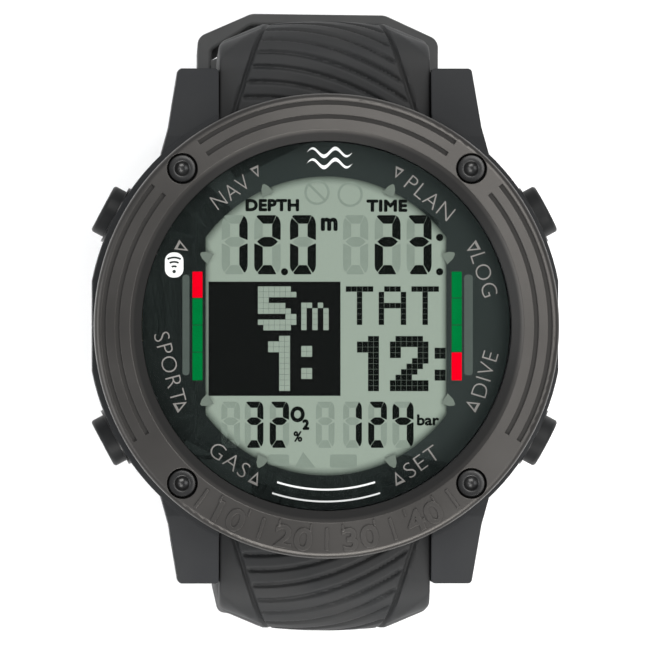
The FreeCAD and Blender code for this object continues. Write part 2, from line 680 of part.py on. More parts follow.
# name, length, width, share of the tallest part, middle x and y
chips = [
    ("Processor", 7.0, 7.0, 1.0, 0.0, 2.0),
    ("Memory", 5.0, 4.0, 0.8, 8.5, 6.0),
    ("Radio", 4.0, 4.0, 0.9, -9.0, 6.0),
    ("Crystal", 3.2, 1.5, 0.9, -8.5, -1.0),
    ("Compass", 3.0, 3.0, 1.0, 9.0, -2.5),
    ("Converter", 3.0, 3.0, 0.8, 4.0, -8.0),
    ("Inductor", 3.5, 3.5, 1.0, -3.0, -8.5),
    ("Capacitor", 2.0, 1.2, 0.7, -8.0, -7.5),
]
keep("board_chips", group("BoardChips", *[
    box(name, str(long), str(wide), f"chipHeight * {tall}", str(x), str(y), boardTop)
    for name, long, wide, tall, x, y in chips
]))
keep("buzzer_disc", cylinder("BuzzerDisc", "buzzerRadius", "buzzerThickness", z="cavityFloor"))

switches = []
for name, heading in buttons:
    switch = doc.addObject("Part::Box", "Switch_" + name)
    switch.setExpression("Length", bind("switchDepth"))
    switch.setExpression("Width", bind("switchWidth"))
    switch.setExpression("Height", bind("switchHeight"))
    switch.Placement = Placement(Vector(), Rotation(Vector(0, 0, 1), value(heading)))
    inner = "(stemEnd - buttonTravel - fitGap - switchDepth)"
    place(switch,
          f"{inner} * cos({heading}) + switchWidth / 2 * sin({heading})",
          f"{inner} * sin({heading}) - switchWidth / 2 * cos({heading})",
          f"{boardBottom} - switchHeight")
    switches.append(switch)
keep("key_switches", group("KeySwitches", *switches))

# ---- battery and its cap ----------------------------------------------------------------

batteryFloor = "(capFloor + 0.05)"
keep("battery", turned("Battery", [
    ("0", batteryFloor),
    ("batteryRadius", batteryFloor, "0.4"),
    ("batteryRadius", f"{batteryFloor} + batteryHeight - batteryStep", "0.3"),
    ("batteryRadius - 1.6", f"{batteryFloor} + batteryHeight - batteryStep"),
    ("batteryRadius - 1.6", f"{batteryFloor} + batteryHeight"),
    ("0", f"{batteryFloor} + batteryHeight"),
]))
lugSeat = f"({ledgeTop} + runningGap)"
contactHeight = f"{wellTop} - {batteryFloor} - batteryHeight"
contactFoot = f"(max(capHeight; {lugSeat} + bayonetHeight) + capGap)"
keep("battery_contacts", group(
    "BatteryContacts",
    box("ContactMiddle", "6", "3", contactHeight, "0", "0", f"{batteryFloor} + batteryHeight"),
    box("ContactSide", "1", "5", f"{wellTop} - {contactFoot}", "batteryRadius + 0.5", "0", contactFoot)))

capBlank = turned("CapBlank", [
    ("0", "0"),
    ("capRadius", "0"),
    ("capRadius", "capFlange"),
    ("capNeck", "capFlange"),
    ("capNeck", "capHeight"),
    ("batteryRadius + capGap", "capHeight"),
    ("batteryRadius + capGap", "capFloor"),
    ("0", "capFloor"),
])
capLugs = []
for number, heading in enumerate(bayonetHeadings, start=1):
    capLugs.append(sector(
        f"CapLug{number}", "capNeck + bayonetReach", "bayonetHeight", "bayonetSweep", heading + 60,
        z=lugSeat))
lugRing = cut("CapLugRing", fuse("CapLugs", *capLugs), cylinder("CapLugBore", "capNeck - 0.5", "capHeight + 1"))
capSolid = fuse("CapSolid", capBlank, lugRing)
gripDisc = cylinder("GripDisc", "capNeck - 1.5", "capGrip + 0.2", z="0 - 0.2")
grips = cut("Grips", gripDisc, box("GripBar", "4 * capRadius", "capBar", "4 * capGrip", z="0 - 1"))
dot = cylinder("LockDot", "0.5", "capGrip / 2 + 0.2", "0", "capNeck + 0.2 - 1", "0 - 0.2")
keep("battery_cap", cut("BatteryCap", capSolid, grips, dot))
keep("battery_cap_seal", tube("BatteryCapSeal", "capRadius - fitGap", "capNeck", "sealRoom - fitGap", z="capFlange"))

# ---- pressure sensor and water contacts -------------------------------------------------

sensorTop = "(trenchFloor - 0.6)"
keep("pressure_sensor", turned("PressureSensor", [
    ("0", "sensorCover + 0.2"),
    ("sensorRadius - 0.8", "sensorCover + 0.2"),
    ("sensorRadius - 0.8", f"{sensorTop} - 1.2"),
    ("sensorRadius", f"{sensorTop} - 1.2"),
    ("sensorRadius", sensorTop),
    ("sensorNeck", sensorTop),
    ("sensorNeck", "trenchFloor + 0.8"),
    ("0", "trenchFloor + 0.8"),
]))
place(parts["pressure_sensor"], "0 - sensorReach")
keep("sensor_seal", tube("SensorSeal", "sensorRadius", "sensorRadius - 0.8", f"{sensorTop} - 1.2 - sensorCover - 0.2",
                         "0 - sensorReach", "0", "sensorCover + 0.2"))
coverDisc = cylinder("CoverDisc", "sensorRadius", "sensorCover", "0 - sensorReach")
vents = [cylinder("VentMiddle", "0.4", "2", "0 - sensorReach", "0", "0 - 0.5")]
for number in range(6):
    vents.append(cylinder(
        f"Vent{number + 1}", "0.4", "2",
        f"0 - sensorReach + 1.7 * cos({60 * number})", f"1.7 * sin({60 * number})", "0 - 0.5"))
keep("sensor_cover", cut("SensorCover", coverDisc, *vents))

contacts = []
contactSeals = []
for name, sign in (("Upper", 1), ("Lower", -1)):
    head = cylinder(f"WaterHead{name}", "contactHead", "0.6", "sensorReach", f"{sign} * contactSpread / 2")
    shank = cylinder(f"WaterShank{name}", "contactShank", "trenchFloor + 0.5", "sensorReach",
                     f"{sign} * contactSpread / 2")
    contacts.append(fuse(f"WaterContact{name}", head, shank))
    contactSeals.append(tube(f"ContactSeal{name}", "contactHead", "contactShank", "0.4",
                             "sensorReach", f"{sign} * contactSpread / 2", "0.6"))
keep("water_contacts", group("WaterContacts", *contacts))
keep("contact_seals", group("ContactSeals", *contactSeals))

# ---- push buttons -----------------------------------------------------------------------

capInner = "(buttonReach - buttonLength)"
bushes = []
for name, heading in buttons:
    bush = turned("Bush_" + name, [
        ("stemRadius + runningGap", "0"),
        (bushRadius, "0"),
        (bushRadius, "bushReach - bushFoot"),
        ("buttonRadius + buttonGap", "bushReach - bushFoot"),
        ("buttonRadius + buttonGap", "bushFloor"),
        ("stemRadius + runningGap", "bushFloor"),
    ])
    bushes.append(radial(bush, heading, "bushFoot"))

    cap = turned("Button_" + name, [
        ("0", f"stemEnd - {capInner}"),
        ("stemRadius", f"stemEnd - {capInner}"),
        ("stemRadius", f"sealReach - sealWidth / 2 - {capInner}"),
        ("stemRadius - stemGroove", f"sealReach - sealWidth / 2 - {capInner}"),
        ("stemRadius - stemGroove", f"sealReach + sealWidth / 2 - {capInner}"),
        ("stemRadius", f"sealReach + sealWidth / 2 - {capInner}"),
        ("stemRadius", "springRecess"),
        ("springRadius + springWire + 0.4", "springRecess"),
        ("springRadius + springWire + 0.4", "0"),
        ("buttonRadius", "0"),
        ("buttonRadius", "buttonLength", "buttonRound"),
        ("0", "buttonLength"),
    ])
    keep("button_" + name, radial(cap, heading, capInner))

    seal = tube("ButtonSeal_" + name, "sealRadius", "stemRadius - stemGroove", "sealWidth")
    keep("button_seal_" + name, radial(seal, heading, "sealReach - sealWidth / 2"))

    clip = tube("ButtonClip_" + name, "clipRadius", "stemRadius", "clipThickness")
    keep("button_clip_" + name, radial(clip, heading, "stemEnd + 0.15"))

    coil = doc.addObject("Part::Helix", "SpringPath_" + name)
    coil.setExpression("Radius", bind("springRadius"))
    length = f"({capInner} + springRecess - bushFoot - bushFloor - 2 * springWire - 0.04)"
    coil.setExpression("Pitch", bind(f"{length} / springTurns"))
    coil.setExpression("Height", bind(length))
    wire = doc.addObject("Part::RegularPolygon", "SpringWire_" + name)
    wire.Polygon = 8
    wire.setExpression("Circumradius", bind("springWire"))
    wire.Placement = Placement(Vector(), Rotation(Vector(1, 0, 0), 90))
    wire.setExpression("Placement.Base.x", bind("springRadius"))
    spring = doc.addObject("Part::Sweep", "Spring_" + name)
    spring.Sections = [wire]
    spring.Spine = (coil, [])
    spring.Solid = True
    spring.Frenet = True
    keep("button_spring_" + name, radial(spring, heading, "bushFoot + bushFloor + springWire + 0.02"))
keep("button_bushes", group("ButtonBushes", *bushes))

# ---- lug pins ---------------------------------------------------------------------------

lugScrews = []
for side, sign in (("upper", 1), ("lower", -1)):
    keep("lug_pin_" + side, tube(
        "LugPin_" + side, "lugPinRadius", "lugScrewShank", "2 * lugPinHalf",
        "0 - lugPinHalf", f"{sign} * lugPinReach", "lugPinHeight", alongX))
    for sideX in (1, -1):
        name = f"LugScrew_{side}_{'right' if sideX > 0 else 'left'}"
        blank = turned(name + "_blank", [
            ("0", "0 - lugScrewFace + lugPinHalf - 4"),
            ("lugScrewShank", "0 - lugScrewFace + lugPinHalf - 4"),
            ("lugScrewShank", "0 - lugScrewDepth"),
            ("lugScrewHead", "0 - lugScrewDepth"),
            ("lugScrewHead", "0", "0.2"),
            ("0", "0"),
        ])
        socket = place(hexPrism(name + "_socket", "socketRadius", "2"), z="0 - lugScrewDepth * 0.6")
        screw = cut(name, blank, socket)
        screw.Placement = Placement(Vector(), Rotation(Vector(0, 1, 0), 90 * sideX))
        place(screw, f"{sideX} * lugScrewFace", f"{sign} * lugPinReach", "lugPinHeight")
        lugScrews.append(screw)
keep("lug_screws", group("LugScrews", *lugScrews))

# ---- strap ------------------------------------------------------------------------------

shoulderHeight = "(padTop - shoulderRound)"


def legPoint(lean, along, inward):
    """A point beside the leg: so far along from the shoulder, so far in from its outer face."""
    y = f"(shoulderReach + (shoulderRound - ({inward})) * cos({lean}) - ({along}) * sin({lean}))"
    z = f"({shoulderHeight} - (shoulderRound - ({inward})) * sin({lean}) - ({along}) * cos({lean}))"
    return y, z


def shoulderCorner(lean):
    """Where the strap's flat top would meet the outer face of its leg."""
    return f"(shoulderReach + shoulderRound * tan((90 + {lean}) / 2))", "padTop"


def strapBlank(name, sign, corners):
    """One strap half: its side outline across the width, hollowed to the case, with its lug eye."""
    owner = body(name)
    side = sketch(owner, name + "Side", "YZ_Plane")
    outline(side, [(f"{sign} * ({c[0]})",) + tuple(c[1:]) for c in corners])
    pad(owner, side, "strapWidth", symmetric=True)
    wall = sketch(owner, name + "Wall", "XY_Plane", "lugPinHeight - 2 * eyeRadius")
    circle(wall, "bayRadius + bodyGap")
    pocket(owner, wall, "2 * deckHeight", reverse=True)
    eye = sketch(owner, name + "Eye", "YZ_Plane")
    circle(eye, "eyeRadius", f"{sign} * lugPinReach", "lugPinHeight")
    pad(owner, eye, "strapWidth", symmetric=True)
    return owner


padStart = "(lugPinReach - 2)"
underside = "(lugPinHeight - eyeRadius)"


def along(lean, height, inward):
    """How far down the leg a height lies, on a line so far in from its outer face."""
    return f"(({shoulderHeight} - (shoulderRound - ({inward})) * sin({lean}) - ({height})) / cos({lean}))"


def lugBore(name, sign):
    return cylinder(name, "lugPinRadius + runningGap", "2 * strapWidth",
                    "0 - strapWidth", f"{sign} * lugPinReach", "lugPinHeight", alongX)


upperCrook = legPoint("upperLean", along("upperLean", underside, "strapThickness"), "strapThickness")
upperBlank = strapBlank("StrapUpperBlank", 1, [
    (padStart, "padTop"),
    shoulderCorner("upperLean") + ("shoulderRound",),
    legPoint("upperLean", "upperLength", "0"),
    legPoint("upperLean", "upperLength", "strapThickness"),
    upperCrook + ("strapThickness * 0.6",),
    ("lugPinReach", underside),
])
buckleEyeSketch = sketch(upperBlank, "BuckleEye", "YZ_Plane")
circle(buckleEyeSketch, "buckleEye", buckleReach, buckleHeight)
pad(upperBlank, buckleEyeSketch, "strapWidth", symmetric=True)

leanBack = Rotation(Vector(1, 0, 0), 0 - value("upperLean"))
notch = doc.addObject("Part::Box", "TongueNotch")
notch.setExpression("Length", bind("notchWidth"))
notch.setExpression("Width", bind("4 * buckleEye"))
notch.setExpression("Height", bind("notchDepth + 2 * buckleEye"))
place(notch, "0 - notchWidth / 2",
      f"{buckleReach} - 2 * buckleEye * cos(upperLean) - 2 * buckleEye * sin(upperLean)",
      f"{buckleHeight} + 2 * buckleEye * sin(upperLean) - 2 * buckleEye * cos(upperLean)", leanBack)
pinHole = cylinder("BucklePinHole", "bucklePinRadius", "2 * strapWidth",
                   "0 - strapWidth", buckleReach, buckleHeight, alongX)
keep("strap_upper", cut("StrapUpper", upperBlank, lugBore("UpperLugBore", 1), notch, pinHole))

lowerCrook = legPoint("lowerLean", along("lowerLean", underside, "tailThickness"), "tailThickness")
lowerBlank = strapBlank("StrapLowerBlank", -1, [
    (padStart, "padTop"),
    shoulderCorner("lowerLean") + ("shoulderRound",),
    legPoint("lowerLean", along("lowerLean", tailBottom, "0"), "0") + ("tailTurn",),
    ("0 - tailReach", tailBottom),
    ("0 - tailReach", tailTop),
    legPoint("lowerLean", along("lowerLean", tailTop, "tailThickness"), "tailThickness")
    + ("tailTurn - tailThickness",),
    lowerCrook + ("tailThickness * 0.6",),
    ("lugPinReach", underside),
])
tipTrim = sketch(lowerBlank, "TipTrim", "XY_Plane", f"{tailBottom} - 1")
for sign in (1, -1):
    outline(tipTrim, [
        (f"{sign} * strapWidth / 2", "tailReach - tailTip - 2"),
        (f"{sign} * strapWidth / 2", "tailReach", "tailTip"),
        (f"{sign} * (strapWidth / 2 - tailTip - 0.5)", "tailReach"),
        (f"{sign} * (strapWidth / 2 - tailTip - 0.5)", "tailReach + 2"),
        (f"{sign} * (strapWidth / 2 + 2)", "tailReach + 2"),
        (f"{sign} * (strapWidth / 2 + 2)", "tailReach - tailTip - 2"),
    ])
pocket(lowerBlank, tipTrim, "tailThickness + 2", reverse=True)

turnHeight = f"({tailBottom} + tailTurn)"
turnReach = legPoint("lowerLean", along("lowerLean", turnHeight, "tailTurn"), "tailTurn")[0]
turnMiddle = "(tailTurn - tailThickness / 2)"
flatLength = value(f"tailReach - holeInset + {turnReach}")
tailHoles = []
for number in range(7):
    hole = doc.addObject("Part::Box", f"TailHole{number + 1}")
    hole.setExpression("Length", bind("holeLength"))
    hole.setExpression("Width", bind("holeWidth"))
    hole.setExpression("Height", bind("2 * tailThickness"))
    tailHoles.append(hole)
    if number * value("holePitch") < flatLength:
        place(hole, "0 - holeLength / 2", f"tailReach - holeInset - {number} * holePitch - holeWidth / 2",
              f"{tailBottom} - tailThickness / 2")
        continue
    swing = (f"(({number} * holePitch - tailReach + holeInset - {turnReach}) / {turnMiddle} * 180 / pi)")
    hole.Placement = Placement(Vector(), Rotation(Vector(1, 0, 0), 0 - value(swing)))
    reach = "(tailTurn + tailThickness / 2)"
    place(hole, "0 - holeLength / 2",
          f"0 - {turnReach} - {reach} * sin({swing}) - holeWidth / 2 * cos({swing})",
          f"{turnHeight} - {reach} * cos({swing}) + holeWidth / 2 * sin({swing})")
keep("strap_lower", cut("StrapLower", lowerBlank, lugBore("LowerLugBore", -1), *tailHoles))

# ---- buckle -----------------------------------------------------------------------------

keep("buckle_pin", cylinder("BucklePin", "bucklePinRadius", f"2 * {frameOuter} - 0.4",
                            f"0.2 - {frameOuter}", buckleReach, buckleHeight, alongX))

armTop = "(frameThickness / 2 + 0.6)"
frameBlank = body("BuckleFrameBlank")
framePlan = sketch(frameBlank, "FramePlan", "XZ_Plane")
outline(framePlan, [
    (f"0 - {frameOuter}", armTop, "0.7"),
    (f"0 - {frameOuter}", "0 - frameLength - frameBar / 2", "frameRound"),
    (frameOuter, "0 - frameLength - frameBar / 2", "frameRound"),
    (frameOuter, armTop, "0.7"),
    (frameInner, armTop, "0.7"),
    (frameInner, "0 - frameLength + frameBar / 2", "frameRound / 2"),
    (f"0 - {frameInner}", "0 - frameLength + frameBar / 2", "frameRound / 2"),
    (f"0 - {frameInner}", armTop, "0.7"),
])
pad(frameBlank, framePlan, "frameThickness", symmetric=True)
frameHole = cylinder("FrameHole", "bucklePinRadius + runningGap", f"4 * {frameOuter}",
                     f"0 - 2 * {frameOuter}", turn=alongX)
keep("buckle_frame", place(cut("BuckleFrame", frameBlank, frameHole), "0", buckleReach, buckleHeight))

hub = cylinder("TongueHub", "tongueHub", "tongueWidth", "0 - tongueWidth / 2", turn=alongX)
blade = body("TongueBlade")
bladeSide = sketch(blade, "BladeSide", "YZ_Plane")
bladeInner = "(frameThickness / 2 + 0.2)"
outline(bladeSide, [
    ("0.2", "0.2"),
    (f"{bladeInner} + tongueThickness", "0.2", "0.6"),
    (f"{bladeInner} + tongueThickness", "0 - frameLength - tongueOver", "0.4"),
    (bladeInner, "0 - frameLength - tongueOver", "0.4"),
    (bladeInner, "0 - tongueHub"),
    ("0.2", "0 - tongueHub + 0.1"),
])
pad(blade, bladeSide, "tongueWidth", symmetric=True)
tongueBore = cylinder("TongueBore", "bucklePinRadius + runningGap", "4 * tongueWidth",
                      "0 - 2 * tongueWidth", turn=alongX)
keep("buckle_tongue", place(cut("BuckleTongue", fuse("TongueBlank", hub, blade), tongueBore),
                            "0", buckleReach, buckleHeight))

# ---- keepers ----------------------------------------------------------------------------

for name, station in (("free", "freeKeeper"), ("fixed", "fixedKeeper")):
    keeper = body("Keeper_" + name)
    section = sketch(keeper, "KeeperSection_" + name, "XY_Plane")
    bore = "(strapWidth / 2 + bodyGap)"
    rim = f"({bore} + keeperSide)"
    back = "(0 - strapThickness - bodyGap)"
    bevelStart = f"({rim} - keeperBevel)"
    outline(section, [
        (f"0 - {rim}", f"{back} - keeperWall", "1"),
        (rim, f"{back} - keeperWall", "1"),
        (rim, "keeperRoom + keeperWall - keeperBevelDrop", "1"),
        (bevelStart, "keeperRoom + keeperWall", "2"),
        (f"0 - {bevelStart}", "keeperRoom + keeperWall", "2"),
        (f"0 - {rim}", "keeperRoom + keeperWall - keeperBevelDrop", "1"),
    ])
    innerDrop = f"(keeperBevelDrop * ({bore} - {bevelStart}) / keeperBevel)"
    outline(section, [
        (f"0 - {bore}", back),
        (bore, back),
        (bore, f"keeperRoom - {innerDrop}"),
        (bevelStart, "keeperRoom"),
        (f"0 - {bevelStart}", "keeperRoom"),
        (f"0 - {bore}", f"keeperRoom - {innerDrop}"),
    ])
    pad(keeper, section, "keeperHeight", symmetric=True)
    y, z = legPoint("upperLean", station, "0")
    keep("keeper_" + name, place(keeper, "0", y, z, leanBack))

# ---- checks and files -------------------------------------------------------------------

doc.recompute()
for obj in doc.Objects:
    if "Invalid" in obj.State or "Error" in obj.State:
        raise RuntimeError(f"{obj.Name} ({obj.Label}) failed: {obj.State}")
for label, obj in parts.items():
    if obj.Shape.isNull() or not obj.Shape.isValid() or not obj.Shape.Solids:
        raise RuntimeError(f"{label} has no valid solid")

os.makedirs("parts", exist_ok=True)
for label, obj in parts.items():
    obj.Shape.exportStep(f"parts/{label}.step")
print(f"{len(parts)} sub-parts written")
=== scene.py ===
import math
import bmesh
import bpy
from mathutils import Matrix, Vector


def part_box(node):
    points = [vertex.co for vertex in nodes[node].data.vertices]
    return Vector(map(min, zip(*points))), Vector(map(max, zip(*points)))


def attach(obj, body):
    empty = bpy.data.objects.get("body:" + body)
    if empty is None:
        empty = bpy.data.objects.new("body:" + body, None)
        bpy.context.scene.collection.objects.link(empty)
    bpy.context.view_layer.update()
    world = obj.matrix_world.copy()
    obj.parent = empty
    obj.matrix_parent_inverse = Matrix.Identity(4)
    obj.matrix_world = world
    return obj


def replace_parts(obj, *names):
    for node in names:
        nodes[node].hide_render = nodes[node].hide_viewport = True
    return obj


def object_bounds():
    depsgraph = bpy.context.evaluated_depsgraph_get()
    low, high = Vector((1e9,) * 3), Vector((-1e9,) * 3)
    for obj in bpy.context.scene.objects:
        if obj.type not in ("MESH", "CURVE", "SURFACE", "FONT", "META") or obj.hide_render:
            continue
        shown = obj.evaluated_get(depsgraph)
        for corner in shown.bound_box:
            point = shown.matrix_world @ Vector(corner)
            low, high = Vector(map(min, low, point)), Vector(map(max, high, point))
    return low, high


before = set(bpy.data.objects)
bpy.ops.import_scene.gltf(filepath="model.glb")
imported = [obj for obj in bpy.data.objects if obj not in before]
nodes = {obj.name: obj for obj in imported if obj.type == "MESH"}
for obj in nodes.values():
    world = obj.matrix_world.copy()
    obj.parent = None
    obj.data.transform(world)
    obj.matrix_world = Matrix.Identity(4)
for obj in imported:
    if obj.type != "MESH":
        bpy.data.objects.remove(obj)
cadBox = [list(corner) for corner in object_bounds()]
mm = 0.001
print("frame loaded,", len(nodes), "nodes")

# finishes
noiseBand = (0.3, 0.7)  # where most of a noise pattern's values lie


def startFinish(name):
    finish = bpy.data.materials.new(name)
    finish.use_nodes = True
    tree = finish.node_tree
    return finish, tree, tree.nodes["Principled BSDF"]


def addNode(tree, kind, **settings):
    node = tree.nodes.new("ShaderNode" + kind)
    for key, amount in settings.items():
        setattr(node, key, amount)
    return node


def fill(node, amounts):
    for socket, amount in amounts.items():
        node.inputs[socket].default_value = amount


def cloud(tree, size, detail=3.0, stretch=(1, 1, 1)):
    # soft random pattern, size in mm, in the object's own coordinates
    place = addNode(tree, "TexCoord")
    turn = addNode(tree, "Mapping")
    fill(turn, {"Scale": stretch})
    noise = addNode(tree, "TexNoise")
    fill(noise, {"Scale": 1 / (size * mm), "Detail": detail})
    tree.links.new(place.outputs["Object"], turn.inputs["Vector"])
    tree.links.new(turn.outputs["Vector"], noise.inputs["Vector"])
    return noise.outputs["Fac"]


def blendColour(tree, factor, first, second, low=noiseBand[0], high=noiseBand[1]):
    ramp = addNode(tree, "ValToRGB")
    ramp.color_ramp.elements[0].position = low
    ramp.color_ramp.elements[1].position = high
    ramp.color_ramp.elements[0].color = (*first, 1)
    ramp.color_ramp.elements[1].color = (*second, 1)
    tree.links.new(factor, ramp.inputs["Fac"])
    return ramp.outputs["Color"]


def spread(tree, factor, low, high):
    span = addNode(tree, "MapRange")
    fill(span, {"From Min": noiseBand[0], "From Max": noiseBand[1], "To Min": low, "To Max": high})
    tree.links.new(factor, span.inputs["Value"])
    return span.outputs["Result"]


def roughen(tree, shader, height, strength, depth, edge=0.0):
    # grain as bump, over edges rounded by the given radius in mm
    bump = addNode(tree, "Bump")
    fill(bump, {"Strength": strength, "Distance": depth * mm})
    tree.links.new(height, bump.inputs["Height"])
    if edge:
        soft = addNode(tree, "Bevel", samples=6)
        fill(soft, {"Radius": edge * mm})
        tree.links.new(soft.outputs["Normal"], bump.inputs["Normal"])
    tree.links.new(bump.outputs["Normal"], shader.inputs["Normal"])


def mouldedFinish(name, look):
    finish, tree, shader = startFinish(name)
    broad = cloud(tree, look["patch"], 4.0)
    fine = cloud(tree, look["grain"], 2.0, look.get("stretch", (1, 1, 1)))
    colour = blendColour(tree, broad, look["dark"], look["light"])
    tree.links.new(colour, shader.inputs["Base Color"])
    tree.links.new(spread(tree, broad, *look["rough"]), shader.inputs["Roughness"])
    fill(shader, {"Metallic": look.get("metal", 0.0), "Specular IOR Level": look.get("shine", 0.5),
                  "Coat Weight": look.get("coat", 0.0), "Coat Roughness": look.get("coatRough", 0.0)})
    roughen(tree, shader, fine, look.get("bump", 0.2), look.get("depth", 0.02), look.get("edge", 0.0))
    return finish


finishLooks = {
    "case_polymer": dict(dark=(0.02, 0.021, 0.023), light=(0.029, 0.03, 0.031), patch=9, grain=0.22,
        rough=(0.55, 0.65), shine=0.16, bump=0.22, depth=0.03, edge=0.25),
    "black_steel": dict(dark=(0.004, 0.004, 0.004), light=(0.008, 0.008, 0.008), patch=2, grain=0.3,
        rough=(0.24, 0.32), shine=0.5, bump=0.05, depth=0.01, edge=0.1),
    "seal_rubber": dict(dark=(0.014, 0.014, 0.015), light=(0.022, 0.022, 0.023), patch=3, grain=0.1,
        rough=(0.55, 0.7), shine=0.2, depth=0.01, edge=0.1),
    "mask_print": dict(dark=(0.0185, 0.0235, 0.0225), light=(0.0205, 0.0255, 0.0245), patch=8, grain=0.08,
        rough=(0.5, 0.6), shine=0.01, bump=0.03, depth=0.005),
    "diffuser": dict(dark=(0.72, 0.75, 0.73), light=(0.82, 0.84, 0.82), patch=6, grain=0.4, rough=(0.3, 0.4),
        bump=0.05, depth=0.01, edge=0.1),
    "carrier_plastic": dict(dark=(0.018, 0.019, 0.02), light=(0.026, 0.027, 0.028), patch=5, grain=0.2,
        rough=(0.5, 0.6), shine=0.3, edge=0.1),
    "zebra_rubber": dict(dark=(0.05, 0.05, 0.055), light=(0.42, 0.42, 0.44), patch=0.3, grain=0.2,
        stretch=(1, 0.05, 0.05), rough=(0.5, 0.6), bump=0.1, depth=0.01),
    "board_laminate": dict(dark=(0.006, 0.075, 0.03), light=(0.012, 0.13, 0.055), patch=1.6, grain=0.35,
        rough=(0.28, 0.4), coat=0.3, coatRough=0.3, edge=0.05),
    "chip_plastic": dict(dark=(0.016, 0.016, 0.017), light=(0.026, 0.026, 0.027), patch=2, grain=0.08,
        rough=(0.5, 0.6), depth=0.01, edge=0.08),
    "sensor_brass": dict(dark=(0.62, 0.47, 0.22), light=(0.8, 0.64, 0.34), patch=3, grain=0.12,
        rough=(0.22, 0.34), metal=1.0, bump=0.06, depth=0.01, edge=0.08),
    "bright_steel": dict(dark=(0.42, 0.42, 0.43), light=(0.6, 0.6, 0.6), patch=4, grain=0.05,
        stretch=(0.04, 1, 1), rough=(0.24, 0.36), metal=1.0, bump=0.08, depth=0.01, edge=0.08),
    "cap_polymer": dict(dark=(0.022, 0.023, 0.025), light=(0.031, 0.032, 0.034), patch=6, grain=0.3,
        rough=(0.5, 0.62), shine=0.3, bump=0.35, depth=0.03, edge=0.2),
    "button_polymer": dict(dark=(0.013, 0.0135, 0.014), light=(0.02, 0.0205, 0.021), patch=3, grain=0.14,
        rough=(0.42, 0.52), shine=0.16, bump=0.15, edge=0.3),
    "strap_elastomer": dict(dark=(0.026, 0.027, 0.028), light=(0.035, 0.035, 0.035), patch=7, grain=0.13,
        rough=(0.55, 0.66), shine=0.18),
    "keeper_elastomer": dict(dark=(0.05, 0.051, 0.051), light=(0.066, 0.066, 0.065), patch=5, grain=0.13,
        rough=(0.5, 0.62), shine=0.2),
}
finishes = {name: mouldedFinish(name, look) for name, look in finishLooks.items()}


def mathNode(tree, operation, first, second):
    node = addNode(tree, "Math", operation=operation)
    for socket, amount in zip(node.inputs, (first, second)):
        if isinstance(amount, (int, float)):
            socket.default_value = amount
        else:
            tree.links.new(amount, socket)
    return node.outputs["Value"]


def ramped(tree, amount, low, high, start=0.0, end=1.0):
    fall = addNode(tree, "MapRange", interpolation_type="SMOOTHSTEP")
    fill(fall, {"From Min": low, "From Max": high, "To Min": start, "To Max": end})
    tree.links.new(amount, fall.inputs["Value"])
    return fall.outputs["Result"]


def planPlace(tree):
    # the object's own coordinates, and the distance from the dial's axis
    place = addNode(tree, "TexCoord")
    split = addNode(tree, "SeparateXYZ")
    tree.links.new(place.outputs["Object"], split.inputs["Vector"])
    flat = addNode(tree, "CombineXYZ")
    tree.links.new(split.outputs["X"], flat.inputs["X"])
    tree.links.new(split.outputs["Y"], flat.inputs["Y"])
    reach = addNode(tree, "VectorMath", operation="LENGTH")
    tree.links.new(flat.outputs["Vector"], reach.inputs[0])
    return split.outputs["X"], split.outputs["Z"], reach.outputs["Value"]


def bezelCoating(look):
    # satin coating with painted shade: darker and less metallic wherever the surface lies under the land, in
    # the grooves and down the inner slope
    finish, tree, shader = startFinish("bezel_coating")
    _, height, reach = planPlace(tree)
    # painted shade: the deeper the surface lies under the sloping land, the darker, faded out at the rim
    fallen = mathNode(tree, "MULTIPLY", mathNode(tree, "SUBTRACT", reach, look["inner"] * mm), look["slope"])
    depth = mathNode(tree, "SUBTRACT", mathNode(tree, "SUBTRACT", look["top"] * mm, fallen), height)
    low = ramped(tree, depth, look["shadeDepths"][0] * mm, look["shadeDepths"][1] * mm)
    shadeWithin = ramped(tree, reach, look["rim"][0] * mm, look["rim"][1] * mm, 1.0, 0.0)
    low = mathNode(tree, "MULTIPLY", low, shadeWithin)
    broad = cloud(tree, look["patch"], 4.0)
    coat = blendColour(tree, broad, look["dark"], look["light"])
    mix = addNode(tree, "Mix", data_type="RGBA")
    tree.links.new(low, mix.inputs["Factor"])
    tree.links.new(coat, mix.inputs["A"])
    # painted shade colours: darkest down the inner slope, less dark in the grooves
    slope = ramped(tree, reach, look["inner"] * mm, (look["inner"] + look["step"]) * mm)
    tree.links.new(blendColour(tree, slope, look["under"], look["groove"], 0.0, 1.0), mix.inputs["B"])
    tree.links.new(mix.outputs["Result"], shader.inputs["Base Color"])
    tree.links.new(spread(tree, broad, *look["rough"]), shader.inputs["Roughness"])
    # the painted shade also takes most of the metal out of the recesses
    tree.links.new(ramped(tree, low, 0.0, 1.0, look["metal"], look["shadeMetal"]), shader.inputs["Metallic"])
    fill(shader, {"Specular IOR Level": look["shine"]})
    roughen(tree, shader, cloud(tree, look["grain"], 2.0), look["bump"], look["depth"], look["edge"])
    return finish


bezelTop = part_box("front_bezel")[1].z / mm
land = dict(inner=22.35, outer=26.4, fall=0.35)  # the bezel's sloping top: its radii and its drop
landSlope = land["fall"] / (land["outer"] - land["inner"])
# under, groove and the lower metal are painted shade in the grooves and down the inner slope
finishes["bezel_coating"] = bezelCoating(dict(
    dark=(0.061, 0.058, 0.055), light=(0.074, 0.0705, 0.067), under=(0.02, 0.0195, 0.019),
    groove=(0.032, 0.0305, 0.029), patch=11, grain=0.16, rough=(0.3, 0.36), metal=0.85,
    shadeMetal=0.17, shine=0.15, bump=0.14, depth=0.02, edge=0.12, inner=land["inner"], step=0.3,
    top=bezelTop, slope=landSlope, shadeDepths=(0.06, 0.42), rim=(26.0, 26.3)))


